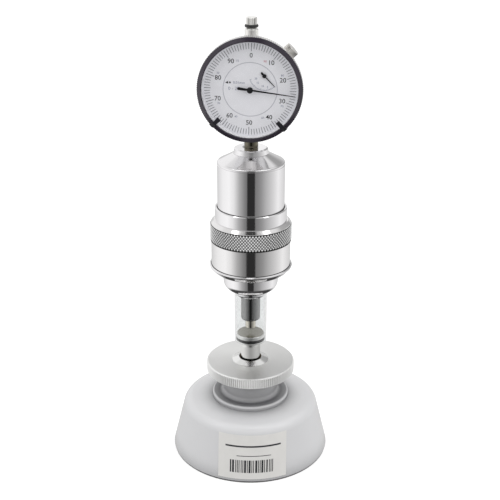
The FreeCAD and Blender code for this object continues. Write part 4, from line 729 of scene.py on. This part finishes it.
def make_inner_dial():
    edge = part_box("inner_dial")[1].x / MM
    slabs("dial_circle", arc_band(edge, CIRCLE_W, 0, 360, CIRCLE_STEPS), CIRCLE_LEVELS, on_dial,
          LINE_INK, "head")
    marks = arc_band(FORCE_RADIUS, FORCE_W, FORCE_START, FORCE_END, FORCE_STEPS, PIVOT)
    for i in range(FORCE_MARK_COUNT):
        start = LONG_FORCE_MARK if i % 5 == 0 else FORCE_MARK
        marks.append(tick(start, FORCE_RADIUS, FORCE_MARK_W, FORCE_START + i * FORCE_MARK_STEP, PIVOT))
    slabs("force_marks", marks, FORCE_LEVELS, on_dial, PALE_INK, "head")
    small = [(text, *polar(reach, place, PIVOT), FORCE_NUMBER_SIZE) for text, place, reach in FORCE_NUMBERS]
    numbers("force_numbers", small, PALE_INK, "head", bold=0.02)
    numbers("range_numbers", RANGE_NUMBERS, PALE_INK, "head")
    slabs("range_arrows", RANGE_ARROWS, MARK_LEVELS, on_dial, INK, "head")


# Knurling and rings of painted shade, in millimetres over the ground
KNURL_FOOT, KNURL_TOP = 139.45, 149.75
KNURL_COUNT = 84          # diamonds round the grip
KNURL_ROWS = 5
KNURL_DEPTH = 0.55
KNURL_LIFT = 0.02         # grooves over the band
KNURL_SINK = 0.15         # hidden side inside the band


def make_knurl():
    """Diamond knurling on the grip's band: pyramids between crossing grooves."""
    low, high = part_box("grip_sleeve")
    band = max(abs(low.x), abs(high.x)) / MM
    valley = band + KNURL_LIFT
    columns, levels = 2 * KNURL_COUNT, 2 * KNURL_ROWS
    verts, faces = [], []
    for j in range(levels + 1):
        z = KNURL_FOOT + (KNURL_TOP - KNURL_FOOT) * j / levels
        for i in range(columns):
            peak = (i + j) % 2 == 0 and 0 < j < levels
            verts.append(ring_point(valley + (KNURL_DEPTH if peak else 0), i, columns, z))
    for j in range(levels):
        for i in range(columns):
            a, b = j * columns + i, j * columns + (i + 1) % columns
            c, d = a + columns, b + columns
            faces += [(a, b, c), (b, d, c)] if (i + j) % 2 == 0 else [(a, b, d), (a, d, c)]
    inner = len(verts)
    for z in (KNURL_FOOT, KNURL_TOP):
        verts += [ring_point(band - KNURL_SINK, i, columns, z) for i in range(columns)]
    last = levels * columns
    for i in range(columns):
        j = (i + 1) % columns
        faces.append((j, i, inner + i, inner + j))
        faces.append((last + i, last + j, inner + columns + j, inner + columns + i))
        faces.append((inner + i, inner + columns + i, inner + columns + j, inner + j))
    add_piece("knurling", verts, faces, knurled_metal(valley * MM, KNURL_DEPTH * MM), "head")


BAND_RAISE = 0.2          # knurled band over the rest of the grip
# foot of the ring of painted shadow under the knurling's edge
KNURL_SHADE_FOOT = 139.25
SHADE_RING_STEPS = 180
SHADE_RING_SINK = 0.05          # hidden side inside the metal
SHADE_RING_TOP_SHARE = 0.8      # width left at the top


def make_shade_rings():
    """Black rings of painted shade where the barrel enters its collar, at the flange and under the
    knurling.
    """
    barrel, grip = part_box("barrel")[1].x / MM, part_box("grip_sleeve")[1].x / MM - BAND_RAISE
    collar_top, flange_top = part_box("lock_collar")[1].z / MM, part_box("grip_sleeve")[0].z / MM
    # painted shade: thin black rings put where these joints only lie in shade
    for name, radius, foot, width, height in (("collar_painted_shade", barrel, collar_top, 0.5, 0.12),
                                              ("flange_painted_shade", grip, flange_top, 0.3, 0.22),
                                              ("knurl_painted_shadow", grip, KNURL_SHADE_FOOT, 0.5, 0.2)):
        section = ((radius - SHADE_RING_SINK, foot), (radius + width, foot),
                   (radius + width * SHADE_RING_TOP_SHARE, foot + height), (radius - SHADE_RING_SINK, foot + height))
        count = len(section)
        verts, faces = [], []
        for i in range(SHADE_RING_STEPS):
            verts += [ring_point(r, i, SHADE_RING_STEPS, z) for r, z in section]
            for k in range(count):
                a, b = count * i + k, count * i + (k + 1) % count
                c, d = (a + count) % (count * SHADE_RING_STEPS), (b + count) % (count * SHADE_RING_STEPS)
                faces.append((a, c, d, b))
        add_piece(name, verts, faces, MATERIALS["stop_black"], "head", smooth=True)


# Label, in millimetres; the base's side is a cone that rounds over into the shoulder
BASE_FOOT_R = 48.8
BASE_TAPER = 0.242         # radius lost per millimetre of height
BASE_SIDE_H = 28.69        # height where the side ends and the rounding starts
BASE_SHOULDER_ROUND = 6.5
SHEET_STEPS = 24
SHEET_ROWS = 40

LABEL = (-16.9, 25.5, 2.6, 29.9)             # left, right, foot and top along the side
LABEL_LINES = (("label_rule", (-12.4, 21.6, 22.4, 23.4)), ("label_line", (-5.4, 15.4, 16.8, 17.2)))
LABEL_LEVELS = (0.01, 0.07)                  # heights over the base
ON_LABEL_LEVELS = (0.075, 0.1)
BARS_LEFT, BARS_RIGHT = -9.4, 17.0
BARS_FOOT, BARS_TOP = 6.6, 14.4
BAR_WIDTHS = (0.5, 0.5, 0.85, 1.2)
BAR_GAPS = (0.5, 0.5, 0.8)


def base_profile(s):
    """Radius and height on the base's side, s millimetres up from the foot along the slope."""
    slope = math.atan(BASE_TAPER)
    straight = BASE_SIDE_H / math.cos(slope)
    if s <= straight:
        return BASE_FOOT_R - s * math.sin(slope), s * math.cos(slope)
    bend = slope + (s - straight) / BASE_SHOULDER_ROUND
    centre_r = BASE_FOOT_R - BASE_TAPER * BASE_SIDE_H - BASE_SHOULDER_ROUND * math.cos(slope)
    centre_z = BASE_SIDE_H - BASE_SHOULDER_ROUND * math.sin(slope)
    return centre_r + BASE_SHOULDER_ROUND * math.cos(bend), centre_z + BASE_SHOULDER_ROUND * math.sin(bend)


def on_base(u, s, height):
    """Point on the base's front, u millimetres round it to the right and s up the slope."""
    radius, z = base_profile(s)
    turn = u / radius
    return ((radius + height) * math.sin(turn), -(radius + height) * math.cos(turn), z)


def base_sheet(name, outline, levels, material):
    """Thin sheet that follows the base's side."""
    left, right, foot, top = outline
    verts, faces = [], []
    for level in levels:
        for j in range(SHEET_ROWS + 1):
            for i in range(SHEET_STEPS + 1):
                verts.append(on_base(left + (right - left) * i / SHEET_STEPS,
                                     foot + (top - foot) * j / SHEET_ROWS, level))

    def vert(side, j, i):
        return (side * (SHEET_ROWS + 1) + j) * (SHEET_STEPS + 1) + i

    for j in range(SHEET_ROWS):
        for i in range(SHEET_STEPS):
            faces.append((vert(1, j, i), vert(1, j, i + 1), vert(1, j + 1, i + 1), vert(1, j + 1, i)))
            faces.append((vert(0, j, i), vert(0, j + 1, i), vert(0, j + 1, i + 1), vert(0, j, i + 1)))
    end = SHEET_ROWS
    for i in range(SHEET_STEPS):
        faces.append((vert(0, 0, i), vert(0, 0, i + 1), vert(1, 0, i + 1), vert(1, 0, i)))
        faces.append((vert(0, end, i + 1), vert(0, end, i), vert(1, end, i), vert(1, end, i + 1)))
    end = SHEET_STEPS
    for j in range(SHEET_ROWS):
        faces.append((vert(0, j + 1, 0), vert(0, j, 0), vert(1, j, 0), vert(1, j + 1, 0)))
        faces.append((vert(0, j, end), vert(0, j + 1, end), vert(1, j + 1, end), vert(1, j, end)))
    add_piece(name, verts, faces, material, "stand", smooth=True)


def make_label():
    """Paper label with plain rules and bars in place of its lettering."""
    base_sheet("label", LABEL, LABEL_LEVELS, PAPER)
    bars, place = [], BARS_LEFT
    while place < BARS_RIGHT:
        edge = place + random.choice(BAR_WIDTHS)
        bars.append([(place, BARS_FOOT), (edge, BARS_FOOT), (edge, BARS_TOP), (place, BARS_TOP)])
        place = edge + random.choice(BAR_GAPS)
    slabs("label_bars", bars, ON_LABEL_LEVELS, on_base, INK, "stand")
    for name, outline in LABEL_LINES:
        base_sheet(name, outline, ON_LABEL_LEVELS, INK)


def main():
    make_camera()
    make_world()
    make_lights()
    make_floor()
    dress_nodes()
    make_outer_dial()
    make_inner_dial()
    make_knurl()
    make_shade_rings()
    make_label()


main()
